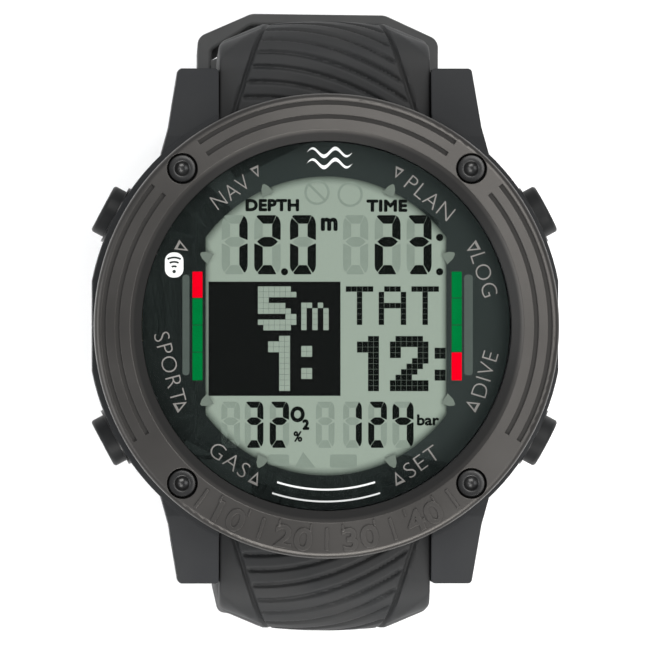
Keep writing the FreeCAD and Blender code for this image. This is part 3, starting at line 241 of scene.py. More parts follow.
def windowGlass(look):
    # clear straight on, and more of a mirror the lower it is seen
    finish, tree, shader = startFinish("window_glass")
    tree.nodes.remove(shader)
    clear = addNode(tree, "BsdfTransparent")
    fill(clear, {"Color": (*look["tint"], 1)})
    polish = addNode(tree, "BsdfGlossy")
    gloss = spread(tree, cloud(tree, look["patch"]), *look["rough"])
    tree.links.new(gloss, polish.inputs["Roughness"])
    edge = addNode(tree, "LayerWeight")
    fill(edge, {"Blend": 0.5})
    grazing = mathNode(tree, "POWER", edge.outputs["Facing"], look["falloff"])
    mix = addNode(tree, "MixShader")
    tree.links.new(ramped(tree, grazing, 0.0, 1.0, look["straight"], look["grazing"]), mix.inputs["Fac"])
    tree.links.new(clear.outputs["BSDF"], mix.inputs[1])
    tree.links.new(polish.outputs["BSDF"], mix.inputs[2])
    tree.links.new(mix.outputs["Shader"], tree.nodes["Material Output"].inputs["Surface"])
    return finish


finishes["window_glass"] = windowGlass(dict(
    tint=(0.985, 0.995, 0.99), straight=0.002, grazing=0.55, falloff=5.0, patch=12, rough=(0.03, 0.06)))


def displayGlass(look):
    # pale green cell, darker close to the window's edge where the mask shades it
    finish, tree, shader = startFinish("display_glass")
    side, _, reach = planPlace(tree)
    side = mathNode(tree, "ABSOLUTE", side, 0.0)
    edge = ramped(tree, reach, look["roundShade"][0] * mm, look["roundShade"][1] * mm)
    flank = ramped(tree, side, look["sideShade"][0] * mm, look["sideShade"][1] * mm)
    shade = mathNode(tree, "MAXIMUM", edge, flank)
    colour = blendColour(tree, shade, look["colour"], look["edgeColour"], 0.0, 1.0)
    speck = blendColour(tree, cloud(tree, look["speck"]), look["speckColour"], (1, 1, 1))
    mix = addNode(tree, "Mix", data_type="RGBA", blend_type="MULTIPLY")
    fill(mix, {"Factor": 1.0})
    tree.links.new(colour, mix.inputs["A"])
    tree.links.new(speck, mix.inputs["B"])
    tree.links.new(mix.outputs["Result"], shader.inputs["Base Color"])
    rough = spread(tree, cloud(tree, look["patch"]), *look["rough"])
    tree.links.new(rough, shader.inputs["Roughness"])
    fill(shader, {"Specular IOR Level": look["shine"]})
    return finish


finishes["display_glass"] = displayGlass(dict(
    colour=(0.206, 0.24, 0.205), edgeColour=(0.08, 0.096, 0.082), roundShade=(15.9, 17.1),
    sideShade=(12.9, 13.9), speck=0.25, speckColour=(0.97, 0.97, 0.97), patch=3, rough=(0.5, 0.6), shine=0.02))
inkTone = 0.92  # the darker patches of an ink, as a share of its colour


def ink(name, colour):
    darker = tuple(c * inkTone for c in colour)
    return mouldedFinish(name, dict(dark=darker, light=colour, patch=1.5, grain=0.1, rough=(0.5, 0.58),
                                    bump=0.05, depth=0.004, shine=0.0))


inkSegment = ink("ink_segment", (0.004, 0.005, 0.0045))
inkGhost = ink("ink_ghost", (0.162, 0.192, 0.164))
inkField = ink("ink_field", (0.0045, 0.005, 0.0048))
inkDot = ink("ink_dot", (0.2, 0.234, 0.2))
inkLabel = ink("ink_label", (0.225, 0.212, 0.203))
inkWhite = ink("ink_white", (0.85, 0.85, 0.85))
inkRed = ink("ink_red", (0.62, 0.0, 0.009))
inkGreen = ink("ink_green", (0.0, 0.125, 0.027))
inkNub = ink("ink_nub", (0.118, 0.14, 0.12))
inkStrip = ink("ink_strip", (0.06, 0.073, 0.066))

nodesOf = {
    "case_polymer": "case_body", "bezel_coating": "front_bezel", "window_glass": "lens",
    "mask_print": "display_mask", "display_glass": "lcd_panel", "diffuser": "backlight_plate",
    "carrier_plastic": "display_frame",
    "zebra_rubber": "lcd_connectors", "board_laminate": "circuit_board", "chip_plastic": "board_chips",
    "cap_polymer": "battery_cap", "strap_elastomer": "strap_upper strap_lower",
    "keeper_elastomer": "keeper_free keeper_fixed",
    "sensor_brass": "buzzer_disc battery_contacts pressure_sensor",
    "seal_rubber": "lens_gasket battery_cap_seal sensor_seal contact_seals",
    "bright_steel": "key_switches battery sensor_cover water_contacts",
    "black_steel": "bezel_screws button_bushes lug_pin_upper lug_pin_lower lug_screws buckle_pin "
                   "buckle_frame buckle_tongue",
}
finishOf = {node: finish for finish, listed in nodesOf.items() for node in listed.split()}
for corner in ("right_upper", "left_upper", "left_lower", "right_lower"):
    finishOf["button_" + corner] = "button_polymer"
    finishOf["button_seal_" + corner] = "seal_rubber"
    finishOf["button_clip_" + corner] = "bright_steel"
    finishOf["button_spring_" + corner] = "bright_steel"
for name, node in nodes.items():
    node.data.materials.clear()
    node.data.materials.append(finishes[finishOf[name]])
print("finishes on", len(nodes), "nodes")

# shared making steps


def finishPiece(name, mesh, slotName, body="case", smoothAngle=35, finish=None):
    mesh.name = name
    piece = bpy.data.objects.new(name, mesh)
    bpy.context.collection.objects.link(piece)
    mesh.materials.clear()
    mesh.materials.append(finish or finishes[slotName])
    for face in mesh.polygons:
        face.use_smooth = True
    mesh.set_sharp_from_angle(angle=math.radians(smoothAngle))
    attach(piece, body)
    return piece


def outlineMesh(loops, thick, lip=0.0):
    # flat outlines in mm, filled between them, as a plate whose middle is at height 0
    curve = bpy.data.curves.new("outline", "CURVE")
    curve.dimensions = "2D"
    curve.fill_mode = "BOTH"
    curve.extrude = (thick / 2 - lip) * mm
    curve.bevel_depth = lip * mm
    curve.offset = -lip * mm
    curve.bevel_resolution = 2
    for loop in loops:
        line = curve.splines.new("POLY")
        line.points.add(len(loop) - 1)
        for point, (x, y) in zip(line.points, loop):
            point.co = (x * mm, y * mm, 0, 1)
        line.use_cyclic_u = True
    return meshOfCurve(curve)


def meshOfCurve(curve):
    holder = bpy.data.objects.new("holder", curve)
    bpy.context.collection.objects.link(holder)
    bpy.context.view_layer.update()
    shown = holder.evaluated_get(bpy.context.evaluated_depsgraph_get())
    mesh = bpy.data.meshes.new_from_object(shown)
    bpy.data.objects.remove(holder)
    bpy.data.curves.remove(curve)
    return mesh


def joined(parts):
    # several meshes, each with its place, as one
    bm = bmesh.new()
    for mesh, place in parts:
        mesh.transform(place)
        bm.from_mesh(mesh)
        bpy.data.meshes.remove(mesh)
    whole = bpy.data.meshes.new("joined")
    bm.to_mesh(whole)
    bm.free()
    return whole


def at(x=0.0, y=0.0, z=0.0, turn=0.0):
    return Matrix.Translation((x * mm, y * mm, z * mm)) @ Matrix.Rotation(math.radians(turn), 4, "Z")


def plates(name, loops, bottom, thick, finish, slotName):
    mesh = outlineMesh(loops, thick)
    mesh.transform(at(z=bottom + thick / 2))
    return finishPiece(name, mesh, slotName, finish=finish)


def box(x0, y0, x1, y1):
    return [(x0, y0), (x1, y0), (x1, y1), (x0, y1)]


def polar(radius, angle):
    return radius * math.cos(math.radians(angle)), radius * math.sin(math.radians(angle))


def roundBox(x0, y0, x1, y1, r, steps=5):
    loop = []
    quarters = ((x1 - r, y0 + r, -90), (x1 - r, y1 - r, 0), (x0 + r, y1 - r, 90), (x0 + r, y0 + r, 180))
    for cx, cy, start in quarters:
        for i in range(steps + 1):
            px, py = polar(r, start + 90 * i / steps)
            loop.append((cx + px, cy + py))
    return loop


def disc(x, y, r, steps=24):
    return [(x + px, y + py) for px, py in (polar(r, 360 * i / steps) for i in range(steps))]


def arcBand(radius, width, start, end, steps=40):
    angles = [start + (end - start) * i / steps for i in range(steps + 1)]
    outer = [polar(radius + width / 2, a) for a in angles]
    inner = [polar(radius - width / 2, a) for a in angles]
    return outer + inner[::-1]


def moved(loop, x, y, turn=0.0, scale=1.0):
    c, s = math.cos(math.radians(turn)), math.sin(math.radians(turn))
    return [(x + scale * (px * c - py * s), y + scale * (px * s + py * c)) for px, py in loop]


# capital height per unit of size, steps in a curve, height between copies
wordStyle = dict(capital=0.72, smooth=4, stagger=0.0004)


def boldWord(text, height, thick, weight, width, spacing):
    # the plain word and copies set off to eight sides, each a hair higher
    around = [(0, 0)] + [polar(weight, a) for a in range(0, 360, 45)]
    return joined([(wordMesh(text, height, thick, 0.0, width, spacing), at(x, y, i * wordStyle["stagger"]))
                   for i, (x, y) in enumerate(around)])


def wordMesh(text, height, thick, weight=0.0, width=1.0, spacing=1.0):
    # text in Blender's own font, capitals of the given height in mm, middle at the origin
    curve = bpy.data.curves.new("word", "FONT")
    curve.body = text
    curve.size = height / wordStyle["capital"] * mm
    curve.extrude = thick / 2 * mm
    curve.offset = weight * mm
    curve.space_character = spacing
    curve.resolution_u = wordStyle["smooth"]
    mesh = meshOfCurve(curve)
    xs = [v.co.x for v in mesh.vertices]
    middle = (min(xs) + max(xs)) / 2
    mesh.transform(Matrix.Diagonal((width, 1, 1, 1)) @ Matrix.Translation((-middle, -height / 2 * mm, 0)))
    return mesh


# display figures

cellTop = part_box("lcd_panel")[1].z / mm
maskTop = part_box("display_mask")[1].z / mm

segmentsOf = {"0": "abcdef", "1": "bc", "2": "abged", "3": "abgcd", "4": "fgbc", "8": "abcdefg"}

# corners of each bar, in mm, in the cell given under them
barShapes = {
    "a": ((0.24, 6.5), (0.32, 6.62), (0.46, 6.68), (2.28, 6.68), (2.4, 6.66), (2.07, 5.8),
           (1.98, 5.72), (1.0, 5.72), (0.9, 5.78)),
    "b": ((2.46, 6.62), (2.68, 6.42), (2.84, 6.1), (2.92, 5.68), (2.92, 3.92), (2.84, 3.89),
           (2.08, 4.2), (1.98, 4.3), (1.98, 5.6), (2.08, 5.78)),
    "c": ((2.92, 3.44), (2.92, 1.0), (2.84, 0.58), (2.66, 0.26), (2.54, 0.2), (2.02, 1.0),
           (1.98, 1.1), (1.98, 3.02), (2.08, 3.14), (2.84, 3.48)),
    "d": ((0.46, 0.04), (0.54, 0.0), (2.34, 0.0), (2.42, 0.06), (1.96, 0.96), (1.84, 1.04),
           (1.08, 1.04), (0.96, 0.98), (0.38, 0.2)),
    "e": ((0.0, 3.44), (0.08, 3.48), (0.84, 3.14), (0.94, 3.02), (0.94, 1.1), (0.9, 1.0),
           (0.32, 0.28), (0.22, 0.36), (0.06, 0.62), (0.0, 1.0)),
    "f": ((0.0, 3.92), (0.0, 5.68), (0.06, 6.02), (0.18, 6.3), (0.24, 6.36), (0.86, 5.76),
           (0.94, 5.62), (0.94, 4.3), (0.84, 4.2), (0.08, 3.89)),
    "g": ((0.3, 3.69), (0.68, 4.04), (1.05, 4.22), (1.87, 4.22), (2.24, 4.04), (2.62, 3.69),
           (2.24, 3.32), (1.87, 3.12), (1.05, 3.12), (0.68, 3.32)),
}
barCell = (2.92, 6.68, 3.69)  # width, height, height of the waist


def segmentLoops(x, y, w, h, shown, middle):
    # bars of one seven-bar digit, its lower left corner at x, y, its waist at a share of the height
    wide, high, waist = barCell

    def level(py):
        if py <= waist:
            return py / waist * middle * h
        return h - (high - py) / (high - waist) * (1 - middle) * h

    return [[(x + px * w / wide, y + level(py)) for px, py in barShapes[name]] for name in shown]


digits = {
    # each cell: the figure lit in it, if any, its left edge and its width
    "upper": dict(bottom=5.87, height=6.72, middle=0.552,
                  cells=(("1", -11.86, 2.95), ("2", -8.16, 3.0), ("0", -4.1, 2.95), ("", 1.94, 2.86),
                         ("2", 5.53, 2.94), ("3", 9.16, 2.84))),
    "lower": dict(bottom=-13.85, height=5.25, middle=0.585,
                  cells=(("", -11.9, 2.12), ("3", -9.24, 2.12), ("2", -6.4, 2.2), ("", -1.15, 2.11),
                         ("1", 1.95, 2.12), ("2", 4.8, 2.12), ("4", 7.55, 2.4))),
    "points": ((-4.72, 6.16, 0.4), (12.92, 10.06, 0.41), (12.92, 6.16, 0.41)),
    "lift": 0.02,
    "ghostLift": 0.01,
}
darkLoops, ghostLoops = [], []
for row in ("upper", "lower"):
    d = digits[row]
    for figure, x, width in d["cells"]:
        ghostLoops += segmentLoops(x, d["bottom"], width, d["height"], segmentsOf["8"], d["middle"])
        if figure:
            darkLoops += segmentLoops(x, d["bottom"], width, d["height"], segmentsOf[figure], d["middle"])
darkLoops += [disc(*spot) for spot in digits["points"]]


def onCell(name, loops, thick, finish, raised=0.0):
    return plates(name, loops, cellTop + raised, thick, finish, "display_glass")


onCell("display_digits", darkLoops, digits["lift"], inkSegment)

ghostMarks = {
    "rings": ((-1.03, 15.19, 1.45), (2.74, 14.96, 1.45)),
    "ringWidth": 0.28,
    "blocks": ((-6.6, -15.9, -4.2, -14.6), (0.45, -16.1, 3.5, -14.6)),
    "blockCorner": 0.25,
    "peak": ((-3.6, -16.1), (-1.2, -16.1), (-2.6, -14.3)),
    "slash": (1.2, 0.14, -45),  # half length and half width, turn
}
for x, y, r in ghostMarks["rings"]:
    ghostLoops += [disc(x, y, r), disc(x, y, r - ghostMarks["ringWidth"])]
ghostLoops += [roundBox(*block, ghostMarks["blockCorner"]) for block in ghostMarks["blocks"]]
ghostLoops.append(list(ghostMarks["peak"]))
onCell("display_ghosts", ghostLoops, digits["ghostLift"], inkGhost)
slashLong, slashWide, slashTurn = ghostMarks["slash"]
slash = moved(box(-slashLong, -slashWide, slashLong, slashWide), *ghostMarks["rings"][0][:2], slashTurn)
onCell("display_ghost_slash", [slash], digits["ghostLift"], inkGhost)

dotShapes = {
    "five": ("111111.", "1111111", "11.....", "11111..", "111111.", ".....11", "1111111", ".11111."),
    "metre": ("11.1.", "1.1.1", "1.1.1", "1.1.1", "1.1.1"),
    "one": ("..11", "1111", "1111") + ("..11",) * 7,
    "two": (".11111.", "1111111", "11...11", "11...11", "....111", "...111.", "..111..", ".111...", "1111111",
            "1111111"),
    "tee": ("11111",) + ("..1..",) * 6,
    "ay": (".111.", "1...1", "1...1", "11111", "1...1", "1...1", "1...1"),
    "pair": ("11", "11"),
}
dotRows = {
    "pitch": 0.628,
    "dot": 0.606,
    "field": (-13.36, -7.94, 1.64, 5.03),
    "fieldLift": 0.015,
    "paleFoot": 0.012,  # the pale dots start inside the field and end above it
    # each shape with its left and top edges
    "pale": (("five", -7.76, 4.51), ("metre", -2.83, 2.66), ("one", -6.6, -1.11), ("pair", -2.83, -2.26),
             ("pair", -2.83, -4.77)),
    "dark": (("tee", 2.24, 4.51), ("ay", 5.98, 4.51), ("tee", 9.7, 4.51), ("one", 3.51, -1.14),
             ("two", 7.26, -1.14), ("pair", 12.34, -2.47), ("pair", 12.34, -4.96)),
}


def dotLoops(items):
    loops, pitch, inset = [], dotRows["pitch"], (dotRows["pitch"] - dotRows["dot"]) / 2
    for shape, left, top in items:
        for row, line in enumerate(dotShapes[shape]):
            for column, lit in enumerate(line):
                if lit == "1":
                    x, y = left + column * pitch + inset, top - row * pitch - inset
                    loops.append(box(x, y - dotRows["dot"], x + dotRows["dot"], y))
    return loops


onCell("display_field", [box(*dotRows["field"])], dotRows["fieldLift"], inkField)
onCell("display_dots_pale", dotLoops(dotRows["pale"]), dotRows["fieldLift"], inkDot, dotRows["paleFoot"])
onCell("display_dots_dark", dotLoops(dotRows["dark"]), digits["lift"], inkSegment)

displayWords = (
    # text, middle x and y, capital height, weight, width, letter spacing
    ("DEPTH", -6.11, 13.76, 1.26, 0.1, 1.1, 1.06),
    ("TIME", 6.92, 13.7, 1.26, 0.1, 1.16, 1.07),
    ("m", 0.36, 11.92, 2.0, 0.12, 0.92, 1.0),
    ("O", -3.24, -10.0, 1.62, 0.12, 0.85, 1.0),
    ("2", -2.3, -11.19, 1.06, 0.1, 0.95, 1.0),
    ("%", -3.2, -12.53, 1.14, 0.05, 0.9, 1.0),
    ("bar", 11.6, -10.65, 1.2, 0.06, 1.14, 1.0),
)
wordLift = digits["lift"]
words = [(boldWord(text, height, wordLift, weight, width, spacing), at(x, y, cellTop + wordLift / 2))
         for text, x, y, height, weight, width, spacing in displayWords]
finishPiece("display_words", joined(words), "display_glass", finish=inkSegment)
print("display figures made")

# printing on the mask

printing = {
    "thick": 0.012,
    "sunk": 0.006,  # how far the prints lie under the mask's face
    "nubSunk": 0.008,
    "overprintSunk": 0.002,  # what is printed on a print
}


def printed(name, loops, finish, sunk=printing["sunk"]):
    return plates(name, loops, maskTop - sunk, printing["thick"], finish, "mask_print")


labels = {
    "height": 1.9,
    # word, radius, angle, width, which way up
    "words": (("NAV", 18.75, 125.5, 0.88, -90), ("PLAN", 18.75, 51.0, 1.0, -90),
              ("LOG", 18.95, 17.9, 0.97, -90), ("SPORT", 18.3, -165.2, 1.0, 90),
              ("GAS", 18.7, -125.85, 1.02, 90), ("SET", 18.8, -54.8, 1.06, 90),
              ("DIVE", 18.8, -16.9, 0.95, 90)),
    # radius, angle, size
    "arrows": ((19.32, 114.4, 0.85), (19.3, 64.9, 0.85), (19.0, 28.1, 1.0), (18.98, -28.4, 1.0),
               (19.21, -64.7, 1.0), (19.16, -115.0, 1.0), (18.9, -151.4, 1.0), (18.72, 151.4, 1.0)),
    "arrowShape": ((-0.62, 0.62), (0.62, 0.62), (0.0, -0.88)),
    "arrowHollow": 0.55,
    "weight": -0.045,
    "spacing": 1.08,
}


def arrowLoops(radius, angle, size):
    # outlined triangle pointing at the middle of the dial, then its hollow
    x, y = polar(radius, angle)
    return [moved(labels["arrowShape"], x, y, angle - 90, size),
            moved(labels["arrowShape"], x, y, angle - 90, size * labels["arrowHollow"])]


labelParts = []
for text, radius, angle, width, turn in labels["words"]:
    word = wordMesh(text, labels["height"], printing["thick"], labels["weight"], width, labels["spacing"])
    labelParts.append((word, at(*polar(radius, angle), maskTop, angle + turn)))
arrows = outlineMesh([loop for spot in labels["arrows"] for loop in arrowLoops(*spot)], printing["thick"])
labelParts.append((arrows, at(z=maskTop)))
finishPiece("dial_labels", joined(labelParts), "mask_print", finish=inkLabel)

windowNubs = {
    "spots": ((17.75, 113.9), (17.95, 64.6), (16.63, 149.9), (16.93, 29.5), (16.99, -147.9), (17.28, -31.5),
              (17.98, -115.6), (18.03, -64.1)),
    "shape": ((-0.7, -1.5), (0.7, -1.5), (0.45, -0.6), (0.12, -0.15), (-0.12, -0.15), (-0.45, -0.6)),
}
nubLoops = [moved(windowNubs["shape"], *polar(r, a), a - 90) for r, a in windowNubs["spots"]]
printed("window_nubs", nubLoops, inkNub, printing["nubSunk"])

dialMarks = {
    "footArcs": ((18.6, 0.21, -107.4, -72.6), (19.95, 0.19, -107.9, -72.1)),
    "wave": dict(x=0.4, y=19.1, length=5.2, height=0.45, apart=1.26, line=0.42, steps=32, taper=3),
    "signal": dict(x=-17.27, y=6.93, width=2.1, height=2.85, corner=0.95, foot=0.75, dot=0.2,
                   arcs=(0.6, 1.1, 1.6), line=0.22, reach=(62, 118)),
}
wave = dialMarks["wave"]
whiteLoops = [arcBand(*arc) for arc in dialMarks["footArcs"]]
for side in (-0.5, 0.5):
    upper, lower = [], []
    for i in range(wave["steps"] + 1):
        along = 2 * i / wave["steps"] - 1
        x = along * wave["length"] / 2
        y = wave["height"] * math.sin(2 * math.pi * along)
        half = wave["line"] / 2 * (1 - abs(along) ** wave["taper"])
        upper.append((x, y + half))
        lower.append((x, y - half))
    whiteLoops.append(moved(upper + lower[::-1], wave["x"], wave["y"] + side * wave["apart"]))
signal = dialMarks["signal"]
w, h = signal["width"] / 2, signal["height"] / 2
whiteLoops.append(moved(roundBox(-w, -h, w, h, signal["corner"], 8), signal["x"], signal["y"]))
printed("dial_white_marks", whiteLoops, inkWhite)
foot = (signal["x"], signal["y"] - signal["foot"])
signalLoops = [disc(*foot, signal["dot"])]
signalLoops += [moved(arcBand(r, signal["line"], *signal["reach"], 12), *foot) for r in signal["arcs"]]
printed("dial_signal_arcs", signalLoops, finishes["mask_print"], printing["overprintSunk"])

bars = {
    "left": (-15.19, -14.05),
    "right": (14.28, 15.42),
    "steps": ((6.17, 3.22), (3.14, 0.15), (0.07, -2.93), (-3.01, -6.17)),
    "strips": ((-16.33, -5.6, -15.53, 5.83), (15.7, -5.6, 16.68, 5.83)),
    "stripCorner": 0.35,
}
redLoops = [box(bars["left"][0], bars["steps"][0][1], bars["left"][1], bars["steps"][0][0]),
            box(bars["right"][0], bars["steps"][3][1], bars["right"][1], bars["steps"][3][0])]
greenLoops = [box(bars["left"][0], low, bars["left"][1], high) for high, low in bars["steps"][1:]]
greenLoops += [box(bars["right"][0], low, bars["right"][1], high) for high, low in bars["steps"][:3]]
printed("dial_red_bars", redLoops, inkRed)
printed("dial_green_bars", greenLoops, inkGreen)
printed("dial_grey_strips", [roundBox(*strip, bars["stripCorner"]) for strip in bars["strips"]], inkStrip)
print("dial printing made")

# depth scale on the bezel

scale = {
    "figures": (("10", 243), ("20", 261), ("30", 279), ("40", 297)),
    "figure": dict(height=2.55, radius=24.25, weight=0.09, width=1.2, spacing=1.05),
    # half length and half width, corner and lip, radius, angles
    "ticks": dict(half=(1.3, 0.2), corner=0.12, lip=0.04, radius=24.2, angles=range(234, 307, 18)),
    "fineTicks": dict(half=(0.4, 0.12), corner=0.08, lip=0.03, radius=22.95,
                      angles=[238.5 + 9 * i for i in range(8)]),
    "raise": 0.2,
}


def onLand(angle, radius, turn):
    # frame on the sloping face of the bezel
    x, y = polar(radius, angle)
    height = bezelTop - landSlope * (radius - land["inner"])
    around = Matrix.Rotation(math.radians(angle), 4, "Z")
    lean = Matrix.Rotation(math.atan(landSlope), 4, "Y")
    return Matrix.Translation(Vector((x, y, height)) * mm) @ around @ lean @ at(turn=turn)


scaleParts = []
scaleThick = 2 * scale["raise"]
figure = scale["figure"]
for text, angle in scale["figures"]:
    word = wordMesh(text, figure["height"], scaleThick, figure["weight"], figure["width"], figure["spacing"])
    scaleParts.append((word, onLand(angle, figure["radius"], 90)))
for ticks in (scale["ticks"], scale["fineTicks"]):
    long, wide = ticks["half"]
    for angle in ticks["angles"]:
        bar = outlineMesh([roundBox(-long, -wide, long, wide, ticks["corner"])], scaleThick, ticks["lip"])
        scaleParts.append((bar, onLand(angle, ticks["radius"], 0)))
finishPiece("bezel_scale", joined(scaleParts), "bezel_coating")
print("bezel scale made")

# bezel screws

screw = {
    "places": ((16.4, 17.85), (-16.4, 17.85), (-16.4, -17.85), (16.4, -17.85)),
    "seat": 14.95,
    # radius and height, from the axis at the bottom to the axis in the socket
    "profile": ((0.0, -10.0), (0.85, -10.0), (1.0, -9.8), (1.0, 0.0), (1.6, 0.0), (1.6, 1.3), (1.52, 1.42),
                (1.38, 1.46), (0.95, 1.5), (0.88, 1.48), (0.8, 1.4), (0.62, 1.22), (0.42, 1.1),
                (0.22, 1.03), (0.0, 1.01)),
    "sides": 48,
}
bm = bmesh.new()
for sx, sy in screw["places"]:
    line = [bm.verts.new((r * mm, 0, z * mm)) for r, z in screw["profile"]]
    edges = [bm.edges.new(pair) for pair in zip(line, line[1:])]
    bmesh.ops.spin(bm, geom=line + edges, cent=(0, 0, 0), axis=(0, 0, 1), angle=2 * math.pi,
                   steps=screw["sides"], use_merge=True)
    for vert in [v for v in bm.verts if not v.tag]:
        vert.tag = True
        vert.co += Vector((sx, sy, screw["seat"])) * mm
bmesh.ops.remove_doubles(bm, verts=bm.verts[:], dist=0.001 * mm)
bmesh.ops.recalc_face_normals(bm, faces=bm.faces[:])
screwMesh = bpy.data.meshes.new("screws")
bm.to_mesh(screwMesh)
bm.free()
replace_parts(finishPiece("bezel_screws_turned", screwMesh, "black_steel"), "bezel_screws")
print("bezel screws made")

# strap halves

strapCommon = {
    "width": 24.0,
    "shoulder": (29.0, 2.5, 5.5),  # middle along Y, height, outside radius
    "hollow": 26.45,  # plan radius of the end that faces the case
    "underside": 0.4,
    "eye": (25.2, 3.6, 3.2),  # lug barrel: along Y, height, radius
    "eyeRound": 0.3,
    "edgeRound": (0.25, 0.75, 30.0, 6.0),  # radius by the horns and along the leg, where it grows, run
    "innerRound": 0.6,
    "roundFrom": 1.5,  # half thickness under which the edges' rounding shrinks
    "knee": 4.5,  # past the shoulder's arc, from where the inner face is parallel
    "crown": 0.34,
    "crownRun": (26.0, 5.0, 2.0, 43.0),  # start, run in, run out, end
    "panelColumn": 8.0,  # column of the grid that follows the panel's edge
    "panel": (10.1, 0.315, 25.0),  # half width at the start, narrowing per mm, start
    "panelEnd": 43.0,
    "panelEase": 4.0,  # run over which the columns leave the panel's edge
    "frameGroove": (0.36, 0.42),  # half width and depth
    "ribGroove": (0.34, 0.4),
    "grooveFill": 0.6,  # how full the groove's section is
    "ribs": dict(first=24.3, pitch=1.765, last=14, bend=0.0201, turn=-7.5, clear=0.25, fade=0.5),
    "chamfer": dict(edge=7.0, start=35.5, widen=0.96, slope=0.42, endStart=39.0, end=50.0, least=0.35),
}
strapGrid = {
    "edge": (0.0, 0.02, 0.08, 0.18, 0.32, 0.5, 0.72),  # columns, as distances in from the strap's edge
    "outer": [10.9 - 0.38 * i for i in range(6)],
    "lip": (0.5, 0.36, 0.24, 0.12, 0.0, -0.12, -0.24, -0.36, -0.5, -0.7, -0.9),  # about the panel's edge
    "inner": [6.75 - 0.35 * i for i in range(14)] + [1.8, 1.55, 1.25, 0.85, 0.4],
    "topRows": 26,
    "fineStep": 0.11,
    "finePast": 0.6,  # how far past the panel the fine rows go
    "coarseStep": 1.0,
    "turnStep": 6,  # degrees between rows round the tip and the pin's eye
    "eyeStart": -33,  # where the eye comes out of the strap's face
    "holeRow": 0.9,
    "leastStep": 0.05,
    "weld": 0.004,
}
strapUpper = dict(lean=12.0, thickness=4.0, leg=42.0, eye=2.4, notch=(1.7, 5.0), side=1, body="upper_strap")
strapLower = dict(lean=4.0, thickness=3.2, turn=26.0, floor=-60.11, tip=31.5, tipRound=11.0, side=-1,
                  hole=(1.8, 1.2), holePitch=7.0, holeInset=12.0, holes=7, body="lower_strap")


def strapRoute(strap):
    # path of the outer face: a point and its outward direction at a distance s along it
    cy, cz, r = strapCommon["shoulder"]
    lean = math.radians(strap["lean"])
    arcEnd = cy + r * (math.pi / 2 + lean)
    normal = (math.cos(lean), -math.sin(lean))
    down = (-math.sin(lean), -math.cos(lean))
    start = (cy + r * normal[0], cz + r * normal[1])
    route = dict(arcEnd=arcEnd)
    if "turn" in strap:
        turn = strap["turn"]
        centreZ = strap["floor"] + turn
        length = (start[1] - centreZ - turn * normal[1]) / -down[1]
        centreY = start[0] + length * down[0] - turn * normal[0]
        route["turnStart"] = arcEnd + length
        route["turnEnd"] = route["turnStart"] + turn * (math.pi / 2 - lean)
        route["end"] = route["turnEnd"] + centreY + strap["tip"]
    else:
        route["pin"] = arcEnd + strap["leg"]
        route["end"] = route["pin"] + strap["eye"]

    def point(s):
        if s <= cy:
            return (s, cz + r), (0.0, 1.0)
        if s <= arcEnd:
            a = (s - cy) / r
            return (cy + r * math.sin(a), cz + r * math.cos(a)), (math.sin(a), math.cos(a))
        if "turn" not in strap or s <= route["turnStart"]:
            t = s - arcEnd
            return (start[0] + t * down[0], start[1] + t * down[1]), normal
        if s <= route["turnEnd"]:
            a = lean + (s - route["turnStart"]) / turn
            return (centreY + turn * math.cos(a), centreZ - turn * math.sin(a)), (math.cos(a), -math.sin(a))
        return (centreY - (s - route["turnEnd"]), strap["floor"]), (0.0, -1.0)

    route["point"] = point
    return route


def panelHalf(s):
    half, narrowing, start = strapCommon["panel"]
    return half - narrowing * (min(s, strapCommon["panelEnd"]) - start)


def dent(distance, half, depth):
    # soft-lipped groove
    u = abs(distance) / half
    return 0.0 if u >= 1 else depth * (1 - u * u) ** 2 * (1 + strapCommon["grooveFill"] * u * u)


def share(value, start, run):
    return min(1.0, max(0.0, (value - start) / run))


def outerDrop(x, s):
    # how far the outer face lies under its plain shape
    side = abs(x)
    drop = 0.0
    panel = panelHalf(s)
    ribs, chamfer, end = strapCommon["ribs"], strapCommon["chamfer"], strapCommon["panelEnd"]
    half, depth = strapCommon["frameGroove"]
    if s <= end:
        drop = dent(side - panel, half, depth)
    if side < panel + half:
        drop = max(drop, dent(s - end, half, depth))
    if side < panel - ribs["clear"] and s < end - ribs["fade"]:
        shift = ribs["bend"] * max(0.0, x - ribs["turn"]) ** 2
        number = min(max(round((s + shift - ribs["first"]) / ribs["pitch"]), 0), ribs["last"])
        line = ribs["first"] + number * ribs["pitch"]
        fade = share(panel - ribs["clear"] - side, 0.0, ribs["fade"])
        drop = max(drop, fade * dent(s + shift - line, *strapCommon["ribGroove"]))
    edge = chamfer["edge"] + chamfer["widen"] * max(0.0, chamfer["start"] - s)
    fade = 1 - share(s, chamfer["endStart"], chamfer["end"] - chamfer["endStart"])
    steep = chamfer["least"] + (1 - chamfer["least"]) * fade
    return drop + chamfer["slope"] * max(0.0, side - edge) * steep


def crown(x, s):
    # gentle swelling of the ribbed panel
    start, runIn, runOut, end = strapCommon["crownRun"]
    rise = share(s, start, runIn) * share(end - s, 0.0, runOut)
    return strapCommon["crown"] * rise * max(0.0, 1 - (x / panelHalf(s)) ** 2)


def edgeDrop(x, half, r):
    u = abs(x) - (half - r)
    return 0.0 if u <= 0 else r - math.sqrt(max(0.0, r * r - u * u))


def strapColumns():
    # from one edge to the other, closer together where the surface turns
    edge = [strapCommon["width"] / 2 - d for d in strapGrid["edge"]]
    lip = [strapCommon["panelColumn"] + d for d in strapGrid["lip"]]
    half = edge + strapGrid["outer"] + lip + strapGrid["inner"]
    return [-v for v in half] + [0.0] + half[::-1]


